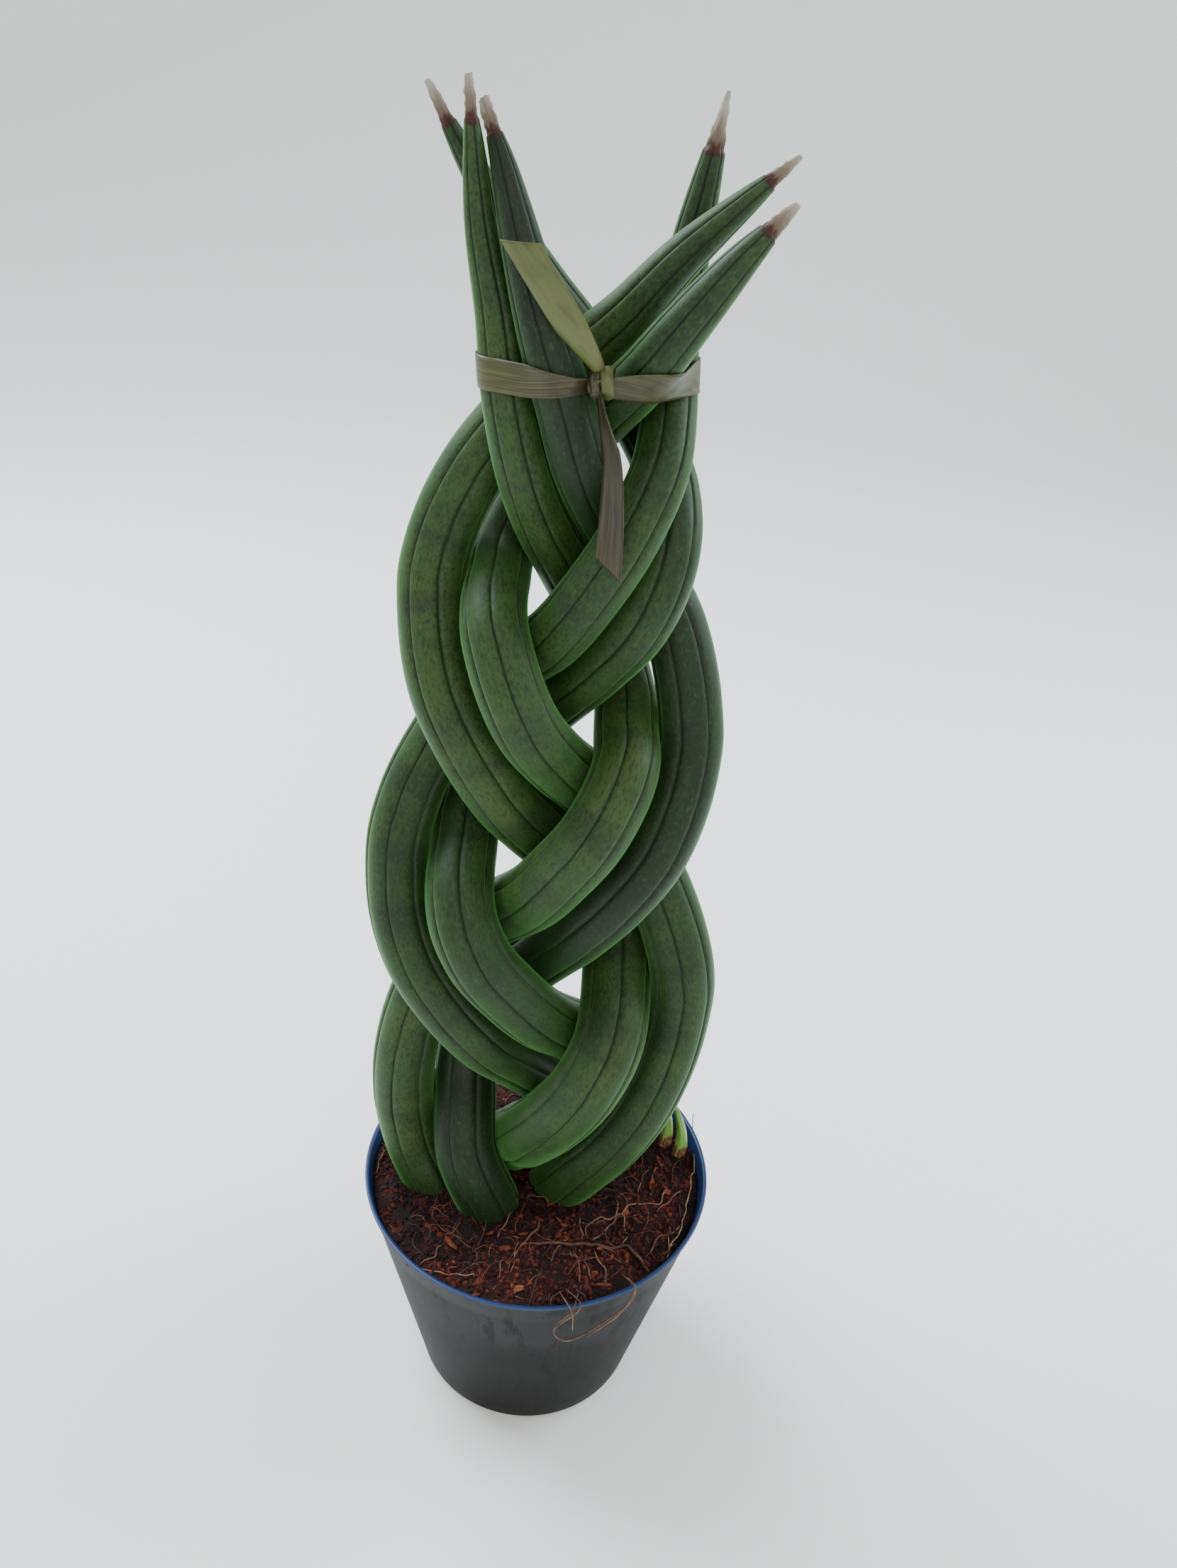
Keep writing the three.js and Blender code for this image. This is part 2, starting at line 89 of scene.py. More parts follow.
def new_material(name):
    """An empty material with its node tree."""
    material = bpy.data.materials.new(name)
    material.use_nodes = True
    material.node_tree.nodes.clear()
    return material, material.node_tree


def surface(material, inputs):
    """Gives an empty material its shader with these inputs, and returns the material."""
    shader = add_node(material.node_tree, "ShaderNodeBsdfPrincipled", inputs)
    add_node(material.node_tree, "ShaderNodeOutputMaterial", {"Surface": shader})
    return material


def link_object(name, mesh):
    piece = bpy.data.objects.new(name, mesh)
    bpy.context.scene.collection.objects.link(piece)
    return piece


def finished_mesh(name, form):
    """Turns a bmesh into a mesh and frees it."""
    mesh = bpy.data.meshes.new(name)
    form.to_mesh(mesh)
    form.free()
    return mesh


def lathe_mesh(name, profile, sides, material_ids=None):
    """A closed solid of revolution from (radius, height) points that start and end on the axis."""
    form = bmesh.new()
    rings = []
    for radius, height in profile:
        if radius == 0:
            rings.append([form.verts.new((0, 0, height))])
            continue
        turns = [2 * math.pi * k / sides for k in range(sides)]
        circle = [(radius * math.cos(t), radius * math.sin(t), height) for t in turns]
        rings.append([form.verts.new(place) for place in circle])
    for row, (low, high) in enumerate(zip(rings, rings[1:])):
        for k in range(sides):
            pairs = [(low, k), (low, k + 1), (high, k + 1), (high, k)]
            corners = [ring[i % sides % len(ring)] for ring, i in pairs]
            face = form.faces.new(list(dict.fromkeys(corners)))
            face.smooth = True
            face.material_index = material_ids[row] if material_ids else 0
    return finished_mesh(name, form)


def studio_floor():
    """Matt pale paper: no shine, so that only soft shadows show on it."""
    material = surface(new_material("matt_backdrop_paper")[0], {
        "Base Color": linear("#f8f8f6"), "Roughness": 0.9, "Specular IOR Level": 0.2,
    })
    turns = [math.pi / 2 * k / COVE_STEPS for k in range(COVE_STEPS + 1)]
    cove = [(FLOOR_RADIUS + COVE_RADIUS * math.sin(t), COVE_RADIUS * (1 - math.cos(t))) for t in turns]
    profile = [(0, 0)] + cove + [(FLOOR_RADIUS + COVE_RADIUS, WALL_TOP)]
    floor = link_object("floor", lathe_mesh("floor", profile, FLOOR_SIDES))
    floor.data.materials.append(material)


def add_light(name, place, aim, size, power, colour):
    """A square soft light that faces the point it is aimed at."""
    light = bpy.data.lights.new(name, "AREA")
    light.size = size
    light.energy = power
    light.color = linear(colour)[:3]
    lamp = link_object(name, light)
    lamp.location = place
    lamp.rotation_euler = (Vector(aim) - Vector(place)).to_track_quat("-Z", "Y").to_euler()


def place_camera():
    """The photo's camera, worked out from the ellipses of the pot's rim and base."""
    pitch, yaw, roll = (math.radians(a) for a in (CAMERA_PITCH, CAMERA_YAW, CAMERA_ROLL))
    ahead = math.cos(pitch)
    forward = Vector((math.sin(yaw) * ahead, math.cos(yaw) * ahead, -math.sin(pitch)))
    level = Vector((math.cos(yaw), -math.sin(yaw), 0))
    upright = level.cross(forward)
    right = math.cos(roll) * level + math.sin(roll) * upright
    up = -math.sin(roll) * level + math.cos(roll) * upright
    camera = bpy.data.cameras.new("camera")
    camera.sensor_width = SENSOR
    camera.lens = FOCAL_PIXELS / max(PHOTO_SIZE) * SENSOR
    camera.clip_start = 0.01
    rig = link_object("camera", camera)
    turn = Matrix((right, up, -forward)).transposed().to_4x4()
    rig.matrix_world = Matrix.Translation(CAMERA_PLACE) @ turn
    bpy.context.scene.camera = rig


def set_sky():
    """Even pale daylight from all round."""
    world = bpy.data.worlds.new("daylight")
    world.use_nodes = True
    tree = world.node_tree
    tree.nodes.clear()
    sky = add_node(tree, "ShaderNodeBackground", {"Color": linear("#e8eef2"), "Strength": 0.85})
    add_node(tree, "ShaderNodeOutputWorld", {"Surface": sky})
    bpy.context.scene.world = world


place_camera()
studio_floor()
set_sky()
PLANT_MIDDLE = (0, 0, 0.22)
add_light("window", (-0.75, 0.55, 1.25), PLANT_MIDDLE, 0.9, 34, "#eef6ff")
add_light("far_side", (0.95, 0.35, 0.8), PLANT_MIDDLE, 0.7, 11, "#e8f2ff")
add_light("front_fill", (0.2, -1.2, 1.1), PLANT_MIDDLE, 0.8, 8, "#fff1e2")

# Pot
# A thin moulded nursery pot of recycled polypropylene, blue inside and on its rim, and printed
# grey outside. Water and soil have stained its outside in dark runs.
POT_TOP = 87 * MM
RIM = 60 * MM
BASE = 39.5 * MM
WALL = 1 * MM
LIP = 0.6 * MM
LIP_DEPTH = 2.4 * MM
FOOT_ROUND = 1.2 * MM
RIM_ROUND = 0.3 * MM
POT_SIDES = 192
DRAIN_HOLES = 8
DRAIN_RADIUS = 3.2 * MM
DRAIN_CIRCLE = 28 * MM


def pot_mesh():
    """The pot's shell, with the blue of its rim and inner side on faces of their own."""
    slope = (RIM - BASE) / POT_TOP

    def outer(z):
        return BASE + slope * z

    lip_low = POT_TOP - LIP_DEPTH
    wall_steps = [k / 10 for k in range(1, 10)]
    outside = [(0, 0), (DRAIN_CIRCLE - DRAIN_RADIUS * 2, 0), (BASE - FOOT_ROUND, 0)]
    outside += [(BASE - FOOT_ROUND * 0.3, FOOT_ROUND * 0.25), (outer(FOOT_ROUND), FOOT_ROUND)]
    outside += [(outer(lip_low * s) - LIP * s, lip_low * s) for s in wall_steps]
    outside += [(outer(lip_low) - LIP, lip_low), (outer(lip_low), lip_low + LIP * 0.5)]
    outside += [(outer(POT_TOP) - RIM_ROUND * 0.4, POT_TOP - RIM_ROUND * 2)]
    rim_start = len(outside) - 1
    inner_top = RIM - WALL - LIP
    rim = [(RIM - RIM_ROUND * 0.6, POT_TOP - RIM_ROUND * 0.3), (RIM - RIM_ROUND * 1.4, POT_TOP)]
    rim += [(inner_top + RIM_ROUND, POT_TOP), (inner_top, POT_TOP - RIM_ROUND)]
    inner_base = BASE - WALL
    inside = [
        (inner_base + (inner_top - inner_base) * s, WALL + (POT_TOP - RIM_ROUND - WALL) * s)
        for s in reversed(wall_steps)
    ]
    inside += [(inner_base, WALL), (DRAIN_CIRCLE - DRAIN_RADIUS * 2, WALL), (0, WALL)]
    profile = outside + rim + inside
    blue = [0 if row < rim_start else 1 for row in range(len(profile) - 1)]
    return lathe_mesh("pot", profile, POT_SIDES, blue)


def maths(tree, operation, *values):
    return add_node(tree, "ShaderNodeMath", values, operation=operation)


def map_range(tree, value, low, high, start, end):
    """Takes a value from low and high to start and end, and holds it there."""
    return add_node(tree, "ShaderNodeMapRange", [value, low, high, start, end])


def noise_texture(tree, place, scale, detail, roughness=0.5, give=None):
    inputs = {"Vector": place, "Scale": scale, "Detail": detail, "Roughness": roughness}
    return add_node(tree, "ShaderNodeTexNoise", inputs, give)


def scaled(tree, place, scale):
    return add_node(tree, "ShaderNodeMapping", {"Vector": place, "Scale": scale})


def ramp(tree, share, stops):
    """Colours by share, from the given places and sRGB colours."""
    return add_node(tree, "ShaderNodeValToRGB", {"Fac": share}, stops=stops)


def blend(tree, share, ground, colour):
    """Lays a colour over the ground by its share."""
    return add_node(tree, "ShaderNodeMix", [share, ground, colour], data_type="RGBA")


def stained_grey_plastic_painted_shade():
    """Moulded polypropylene printed grey: a soft shine, dark stains that ran down, and painted shade
    that darkens it towards the foot.
    """
    material, tree = new_material("stained_grey_polypropylene_painted_shade")
    place = add_node(tree, "ShaderNodeTexCoord", give="Object")
    height = add_node(tree, "ShaderNodeSeparateXYZ", [place], give="Z")
    # Runs are 1 to 2 mm wide and about 8 times as tall.
    runs_place = scaled(tree, place, (1, 1, 0.13))
    runs = noise_texture(tree, runs_place, 1 / (3.2 * MM), 3.0, 0.55)
    run_patches = noise_texture(tree, place, 1 / (16 * MM), 2.0)
    clouds = noise_texture(tree, place, 1 / (22 * MM), 5.0, 0.6)
    grain = noise_texture(tree, place, 1 / (0.9 * MM), 3.0)
    # Painted shade: the grey ramps darker towards the foot, along a wavering line.
    wobble = maths(tree, "MULTIPLY", clouds, 30 * MM)
    rise = maths(tree, "ADD", height, wobble)
    foot = map_range(tree, rise, 28 * MM, 78 * MM, 0.0, 1.0)
    ground = ramp(tree, foot, [
        (0.0, "#040302"), (0.4, "#090807"), (0.75, "#111211"), (1.0, "#222526"),
    ])
    cloudy = map_range(tree, clouds, 0.35, 0.7, 0.0, 0.4)
    dusted = blend(tree, cloudy, ground, linear("#232220"))
    grainy = map_range(tree, grain, 0.4, 0.75, 0.0, 0.22)
    speckled = blend(tree, grainy, dusted, linear("#0b0a09"))
    streak = map_range(tree, runs, 0.52, 0.6, 0.0, 1.0)
    where = map_range(tree, run_patches, 0.36, 0.5, 0.0, 0.9)
    dark = maths(tree, "MULTIPLY", streak, where)
    colour = blend(tree, dark, speckled, linear("#030303"))
    dents = add_node(tree, "ShaderNodeBump", {"Strength": 0.25, "Distance": 0.3 * MM, "Height": clouds})
    return surface(material, {
        "Base Color": colour, "Roughness": 0.52, "Specular IOR Level": 0.1, "Normal": dents,
    })


def blue_plastic():
    """The same moulded plastic undyed by the grey print: clear blue, dusty, a little worn."""
    material, tree = new_material("moulded_blue_polypropylene")
    place = add_node(tree, "ShaderNodeTexCoord", give="Object")
    dust = noise_texture(tree, place, 1 / (5 * MM), 6.0)
    dusty = map_range(tree, dust, 0.4, 0.75, 0.0, 0.6)
    colour = blend(tree, dusty, linear("#132c58"), linear("#1f2f45"))
    return surface(material, {"Base Color": colour, "Roughness": 0.42})


def drain_cutter():
    """Eight round plugs through the pot's floor."""
    form = bmesh.new()
    for k in range(DRAIN_HOLES):
        turn = 2 * math.pi * k / DRAIN_HOLES
        middle = Vector((DRAIN_CIRCLE * math.cos(turn), DRAIN_CIRCLE * math.sin(turn), WALL / 2))
        bmesh.ops.create_cone(
            form, cap_ends=True, segments=32, radius1=DRAIN_RADIUS, radius2=DRAIN_RADIUS,
            depth=WALL * 4, matrix=Matrix.Translation(middle),
        )
    return link_object("drain_cutter", finished_mesh("drain_cutter", form))


def bake_modifiers(piece):
    """Turns a piece with its modifiers into a plain mesh."""
    bpy.context.view_layer.update()
    graph = bpy.context.evaluated_depsgraph_get()
    mesh = bpy.data.meshes.new_from_object(piece.evaluated_get(graph))
    piece.modifiers.clear()
    piece.data = mesh
    return piece


pot = link_object("nursery_pot", pot_mesh())
pot.data.materials.append(stained_grey_plastic_painted_shade())
pot.data.materials.append(blue_plastic())
cutter = drain_cutter()
drains = pot.modifiers.new("drains", "BOOLEAN")
drains.object = cutter
bake_modifiers(pot)
bpy.data.objects.remove(cutter)
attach(pot, "root")
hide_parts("pot")

# Soil
# Moist coir: a mound of rotted coconut pith, with loose granules, husk chips and short bristles of
# husk fibre lying on it. It is filled in loose and watered down to just under the rim.
SOIL_TOP = 82
SOIL_MOUND = 1.5
SOIL_BUMP = 0.9
SOIL_WAVES = [(0.31, 0.17, 0), (-0.33, 0.26, 1), (0.47, 0.52, 2)]
SOIL_GAP = 0.35
SOIL_SIDES = 240
SOIL_RINGS = 64
CLOD_SIZE = 5.0
CLOD_HEIGHT = 1.1
GRAIN_SIZE = 1.6
GRAIN_HEIGHT = 0.5


def soil_level(x, y):
    """Height of the soil at a place, all in millimetres: the mound and its shallow waves."""
    far = math.hypot(x, y) / (RIM / MM)
    wave = sum(math.sin(a * x + b * y + start) for a, b, start in SOIL_WAVES) / len(SOIL_WAVES)
    return SOIL_TOP + SOIL_MOUND * (1 - far * far) + SOIL_BUMP * wave


def inner_radius(z):
    """Radius of the pot's inside at a height, in metres."""
    low, high = BASE - WALL, RIM - WALL - LIP
    return low + (high - low) * (z - WALL) / (POT_TOP - WALL)


def soil_mesh():
    """A closed plug of soil whose top is rough with clods and grains."""
    floor = WALL + SOIL_GAP * MM
    edge = (inner_radius(SOIL_TOP * MM) - SOIL_GAP * MM) / MM
    form = bmesh.new()

    def ring(radius, height=None):
        verts = []
        for k in range(SOIL_SIDES):
            turn = 2 * math.pi * k / SOIL_SIDES
            x, y = radius * math.cos(turn), radius * math.sin(turn)
            z = height
            if z is None:
                clods = noise.noise(Vector((x, y, 0)) / CLOD_SIZE) * CLOD_HEIGHT
                grains = noise.noise(Vector((x, y, 7)) / GRAIN_SIZE) * GRAIN_HEIGHT
                z = soil_level(x, y) + clods + grains
            verts.append(form.verts.new((x * MM, y * MM, z * MM)))
        return verts

    foot = form.verts.new((0, 0, floor))
    rows = [ring((inner_radius(floor) - SOIL_GAP * MM) / MM, floor / MM)]
    rows += [ring(edge * k / SOIL_RINGS) for k in range(SOIL_RINGS, 0, -1)]
    crown = form.verts.new((0, 0, soil_level(0, 0) * MM))
    for k in range(SOIL_SIDES):
        after = (k + 1) % SOIL_SIDES
        form.faces.new((foot, rows[0][after], rows[0][k]))
        form.faces.new((rows[-1][k], rows[-1][after], crown))
        for low, high in zip(rows, rows[1:]):
            form.faces.new((low[k], low[after], high[after], high[k]))
    for face in form.faces:
        face.smooth = True
    return finished_mesh("soil", form)


def attribute(tree, name, give="Fac"):
    """A mesh's own named value, in a material."""
    return add_node(tree, "ShaderNodeAttribute", give=give, attribute_name=name)


def moist_coir():
    """Rotted coconut pith: nearly black where wet, red-brown where it dries, orange husk bits.
    Each grain's own tone comes from its tone attribute, and the bed below has none."""
    material, tree = new_material("moist_coir_pith")
    place = add_node(tree, "ShaderNodeTexCoord", give="Object")
    tone = attribute(tree, "tone")
    mottle = noise_texture(tree, place, 1 / (1.1 * MM), 4.0, 0.65)
    patches = noise_texture(tree, place, 1 / (19 * MM), 2.0)
    spread = maths(tree, "MULTIPLY", mottle, 0.45)
    own = maths(tree, "ADD", tone, spread)
    dry = map_range(tree, patches, 0.35, 0.7, -0.14, 0.14)
    level = maths(tree, "ADD", own, dry)
    colour = ramp(tree, level, [
        (0.0, "#0c0505"), (0.25, "#1a0a09"), (0.5, "#34120e"), (0.72, "#552216"), (0.88, "#783c24"),
        (1.0, "#946645"),
    ])
    rough = add_node(tree, "ShaderNodeBump", {"Strength": 0.6, "Distance": 0.4 * MM, "Height": mottle})
    return surface(material, {
        "Base Color": colour, "Roughness": 0.85, "Specular IOR Level": 0.25, "Normal": rough,
    })


def new_tree(name, inputs):
    """A geometry tree with its group input and output, and named inputs of the given kinds."""
    tree = bpy.data.node_groups.new(name, "GeometryNodeTree")
    tree.interface.new_socket("Geometry", in_out="INPUT", socket_type="NodeSocketGeometry")
    for label, kind in inputs:
        tree.interface.new_socket(label, in_out="INPUT", socket_type=f"NodeSocket{kind}")
    tree.interface.new_socket("Geometry", in_out="OUTPUT", socket_type="NodeSocketGeometry")
    tree.nodes.new("NodeGroupInput")
    return tree, {socket.name: socket for socket in tree.nodes[0].outputs}


def grow(piece, tree, values):
    """Runs a geometry tree on a piece with the given inputs and keeps the result as its mesh."""
    run = piece.modifiers.new(tree.name, "NODES")
    run.node_group = tree
    for item in tree.interface.items_tree:
        if item.in_out == "INPUT" and item.name in values:
            run[item.identifier] = values[item.name]
    return bake_modifiers(piece)


def stretch(tree, vector, amount):
    return add_node(tree, "ShaderNodeVectorMath", {"Vector": vector, "Scale": amount}, operation="SCALE")


def store_in(tree, geometry, name, value, kind, domain):
    """Keeps a value with a geometry, under a name."""
    inputs = {"Geometry": geometry, "Name": name, "Value": value}
    return add_node(tree, "GeometryNodeStoreNamedAttribute", inputs, data_type=kind, domain=domain)


def grains_tree():
    """Scatters lumps on the faces that point up. Each lump has its own size, turn and tone."""
    tree, given = new_tree("coir_grains", [
        ("Density", "Float"), ("Seed", "Int"), ("Smallest", "Vector"), ("Largest", "Vector"),
        ("Tilt", "Float"), ("Roughness", "Float"), ("Rough size", "Float"), ("Darkest", "Float"),
        ("Palest", "Float"), ("Reach", "Float"), ("Material", "Material"),
    ])
    normal = add_node(tree, "GeometryNodeInputNormal")
    up = add_node(tree, "ShaderNodeSeparateXYZ", [normal], give="Z")
    place = add_node(tree, "GeometryNodeInputPosition")
    flat = add_node(tree, "ShaderNodeVectorMath", [place, (1, 1, 0)], operation="MULTIPLY")
    far = add_node(tree, "ShaderNodeVectorMath", [flat], operation="LENGTH", give="Value")
    limit = given["Reach"]
    inside = add_node(tree, "FunctionNodeCompare", {"A": far, "B": limit}, operation="LESS_THAN")
    facing = add_node(tree, "FunctionNodeCompare", {"A": up, "B": 0.3}, operation="GREATER_THAN")
    on_top = add_node(tree, "FunctionNodeBooleanMath", [inside, facing], operation="AND")
    points = add_node(tree, "GeometryNodeDistributePointsOnFaces", {
        "Mesh": given["Geometry"], "Selection": on_top, "Density": given["Density"],
        "Seed": given["Seed"],
    })
    lump = add_node(tree, "GeometryNodeMeshIcoSphere", {"Radius": 0.5, "Subdivisions": 1})
    back = maths(tree, "MULTIPLY", given["Tilt"], -1.0)
    least = add_node(tree, "ShaderNodeCombineXYZ", [back, back, 0.0])
    most = add_node(tree, "ShaderNodeCombineXYZ", [given["Tilt"], given["Tilt"], 2 * math.pi])
    turn = add_node(tree, "FunctionNodeRandomValue", {"Min": least, "Max": most, "Seed": 1},
                    data_type="FLOAT_VECTOR")
    size = add_node(tree, "FunctionNodeRandomValue", {
        "Min": given["Smallest"], "Max": given["Largest"], "Seed": 2,
    }, data_type="FLOAT_VECTOR")
    lumps = add_node(tree, "GeometryNodeInstanceOnPoints", {
        "Points": points, "Instance": lump, "Rotation": turn, "Scale": size,
    })
    own_tone = add_node(tree, "FunctionNodeRandomValue", {
        "Min": given["Darkest"], "Max": given["Palest"], "Seed": 3,
    }, data_type="FLOAT")
    toned = store_in(tree, lumps, "tone", own_tone, "FLOAT", "INSTANCE")
    real = add_node(tree, "GeometryNodeRealizeInstances", [toned])
    ripple_size = maths(tree, "DIVIDE", 1.0, given["Rough size"])
    ripple = noise_texture(tree, place, ripple_size, 1.0, give="Color")
    centred = add_node(tree, "ShaderNodeVectorMath", [ripple, (0.5, 0.5, 0.5)], operation="SUBTRACT")
    shove = stretch(tree, centred, given["Roughness"])
    uneven = add_node(tree, "GeometryNodeSetPosition", {"Geometry": real, "Offset": shove})
    finish = add_node(tree, "GeometryNodeSetMaterial", {
        "Geometry": uneven, "Material": given["Material"],
    })
    add_node(tree, "NodeGroupOutput", [finish])
    return tree


soil = link_object("coir_bed", soil_mesh())
coir = moist_coir()
soil.data.materials.append(coir)
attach(soil, "root")
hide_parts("soil")

GRAINS = grains_tree()
SCATTERS = {
    "coir_granules": {
        "Density": 420000.0, "Seed": 3, "Smallest": (0.0009, 0.0008, 0.0007),
        "Largest": (0.0027, 0.0021, 0.0017), "Tilt": 0.9, "Roughness": 0.0009, "Rough size": 0.0011,
        "Darkest": 0.02, "Palest": 0.5, "Reach": 0.0565,
    },
    "coir_chips": {
        "Density": 17000.0, "Seed": 8, "Smallest": (0.0028, 0.0012, 0.0005),
        "Largest": (0.0078, 0.0028, 0.0011), "Tilt": 0.7, "Roughness": 0.0012, "Rough size": 0.002,
        "Darkest": 0.25, "Palest": 0.66, "Reach": 0.055,
    },
    "coir_bristles": {
        "Density": 70000.0, "Seed": 5, "Smallest": (0.002, 0.00018, 0.00018),
        "Largest": (0.0062, 0.0004, 0.0004), "Tilt": 0.6, "Roughness": 0.0008, "Rough size": 0.003,
        "Darkest": 0.25, "Palest": 0.8, "Reach": 0.056,
    },
}
for name, values in SCATTERS.items():
    litter = link_object(name, soil.data.copy())
    grow(litter, GRAINS, {**values, "Material": coir})
    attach(litter, "root")

# Leaves
# Six round leaves of a cylindrical snake plant, braided while young and supple, so each keeps its
# bends. A leaf is a stiff waxy rod with fine grooves along it, and ends in a dry papery point.
LEAF_RADIUS = 10
YOUNG_SHARE = 0.68
GROWN_LENGTH = 260
BLUNTNESS = 0.8
DRY_SHARE = 0.85
GROOVES = 7
TOUCH = 0.55
TOUCH_FROM = 60
ROUTE_POINTS = 120
SETTLE_ROUNDS = 240
SETTLE_GAP = 0.8
SETTLE_FALL = 30
SETTLE_ACROSS = 0.3
SETTLE_EVEN = 0.35
SETTLE_EVEN_LAST = 0.05
SETTLE_LAST_FROM = 192
STATION_STEP = 1.4

# Each leaf: the route of its middle from foot to tip, with the slimness of its taper, its girth,
# its dry tip's length and the radius of its end, as the solids have them. Its tone goes from dark blue
# green at 0 to paler olive at 1, and leaf_b's low tone is painted shade.
LEAVES = {
    "leaf_a": {
        "route": [
            (-24, -6, 44), (-29, -6, 66), (-35, -5, 81), (-42, -1, 96), (-45, 1, 112), (-46, 2, 131),
            (-43, 6, 150), (-36, 10, 167), (-27, 9, 181), (-17, 2, 193), (-8, -8, 206), (0, -15, 220),
            (9, -18, 236), (15, -12, 250), (16, 2, 259), (13, 15, 270), (6, 16, 285), (-3, 11, 301),
            (-11, 4, 317), (-16, -3, 332), (-20, -5, 349), (-23, -4, 368), (-27, -4, 387),
            (-29, -5, 404), (-30.5, -5, 417),
        ],
        "slimness": 50, "girth": 1, "dry_tip": 9, "tip_end": 0.9, "tone": 0.62,
    },
    "leaf_b": {
        "route": [
            (-8, -12, 44), (-12, -12, 68), (-16, -12, 82), (-21, -10, 95), (-25, -3, 108), (-27, 8, 121),
            (-25, 13, 138), (-18, 12, 154), (-7, 9, 167), (2, 2, 182), (9, -6, 196), (18, -10, 210),
            (27, -9, 225), (32, -5, 242), (33, 1, 259), (31, 6, 276), (26, 11, 291), (16, 11, 306),
            (6, 5, 320), (-1, -5, 335), (-6, -10, 350), (-12, -11, 366), (-18, -9, 383), (-24, -5, 400),
            (-29, -1, 412),
        ],
        # leaf_b's low tone is painted shade, for the leaf that lies behind leaf_a.
        "slimness": 36, "girth": 1, "dry_tip": 8, "tip_end": 1.3, "tone": 0.12,
    },
    "leaf_c": {
        "route": [
            (24, 12, 44), (22, 11, 72), (20, 11, 88), (16, 11, 100), (8, 10, 111), (-3, 5, 122),
            (-12, -2, 136), (-21, -9, 150), (-32, -10, 165), (-41, -8, 180), (-46, -4, 197),
            (-46, 0, 216), (-43, 5, 233), (-36, 10, 249), (-27, 10, 264), (-16, 3, 276), (-5, -6, 289),
            (4, -11, 304), (12, -11, 319), (18, -4, 334), (19, 6, 349), (19, 11, 367), (21, 11, 385),
            (24, 10, 405), (26, 10, 418),
        ],
        "slimness": 35, "girth": 0.95, "dry_tip": 13, "tip_end": 0.4, "tone": 0.5,
    },
    "leaf_d": {
        "route": [
            (8, 26, 44), (14, 27, 72), (19, 29, 88), (24, 27, 102), (25, 23, 118), (19, 13, 134),
            (9, 3, 146), (-1, -8, 160), (-11, -15, 175), (-21, -18, 191), (-27, -13, 207), (-28, 2, 220),
            (-25, 13, 233), (-16, 13, 249), (-5, 8, 264), (7, 2, 279), (17, -4, 295), (22, -2, 311),
            (21, 8, 328), (12, 17, 343), (-1, 20, 358), (-13, 18, 372), (-23, 13, 386), (-34, 9, 402),
            (-42, 9, 415),
        ],
        "slimness": 45, "girth": 0.97, "dry_tip": 10, "tip_end": 0.8, "tone": 0.45,
    },
    "leaf_e": {
        "route": [
            (-22, 14, 44), (-18, 13, 68), (-14, 12, 80), (-7, 5, 95), (-3, -6, 110), (4, -15, 126),
            (12, -18, 142), (18, -13, 157), (20, 0, 169), (18, 12, 182), (11, 15, 197), (1, 11, 211),
            (-9, 3, 225), (-18, -4, 240), (-27, -7, 257), (-34, -5, 273), (-37, 0, 290), (-36, 5, 309),
            (-30, 7, 326), (-20, 8, 341), (-6, 7, 355), (7, 5, 368), (19, 1, 383), (32, -1, 396),
            (43, 0, 406),
        ],
        "slimness": 42, "girth": 1.07, "dry_tip": 9, "tip_end": 0.6, "tone": 0.6,
    },
    "leaf_f": {
        "route": [
            (-4, 6, 44), (1, 2, 66), (6, -2, 78), (14, -8, 95), (24, -10, 110), (33, -8, 126),
            (39, -4, 144), (41, -1, 162), (40, 1, 178), (35, 5, 194), (26, 10, 211), (15, 11, 227),
            (5, 3, 240), (-3, -8, 253), (-11, -17, 268), (-17, -17, 283), (-21, -6, 296), (-20, 10, 305),
            (-16, 17, 316), (-7, 15, 331), (3, 5, 345), (12, -6, 357), (21, -12, 371), (32, -14, 386),
            (42, -12, 397),
        ],
        "slimness": 26, "girth": 0.98, "dry_tip": 9, "tip_end": 0.9, "tone": 0.5,
    },
}


def smooth_curve(points, per_span=40):
    """Closely spaced points on the centripetal Catmull-Rom curve through a route."""
    points = np.asarray(points, float)
    ends = np.vstack([2 * points[0] - points[1], points, 2 * points[-1] - points[-2]])
    steps = np.maximum(np.linalg.norm(np.diff(ends, axis=0), axis=1), 1e-9) ** 0.5
    share = np.linspace(0, 1, per_span, endpoint=False)[:, None]
    spans = []
    for i in range(1, len(ends) - 2):
        x0, x1, x2, x3 = ends[i - 1:i + 3]
        d0, d1, d2 = steps[i - 1:i + 2]
        leave = ((x1 - x0) / d0 - (x2 - x0) / (d0 + d1) + (x2 - x1) / d1) * d1
        reach = ((x2 - x1) / d1 - (x3 - x1) / (d1 + d2) + (x3 - x2) / d2) * d1
        cubic = 2 * (x1 - x2) + leave + reach
        square = 3 * (x2 - x1) - 2 * leave - reach
        spans.append(x1 + share * (leave + share * (square + share * cubic)))
    return np.vstack(spans + [points[-1:]])


def arc_lengths(path):
    return np.concatenate([[0], np.cumsum(np.linalg.norm(np.diff(path, axis=0), axis=1))])


def along_curve(curve, distances):
    """Points of a curve at distances from its start."""
    lengths = arc_lengths(curve)
    return np.stack([np.interp(distances, lengths, curve[:, axis]) for axis in range(3)], axis=1)


def even_path(route, count):
    curve = smooth_curve(route)
    return along_curve(curve, np.linspace(0, arc_lengths(curve)[-1], count))


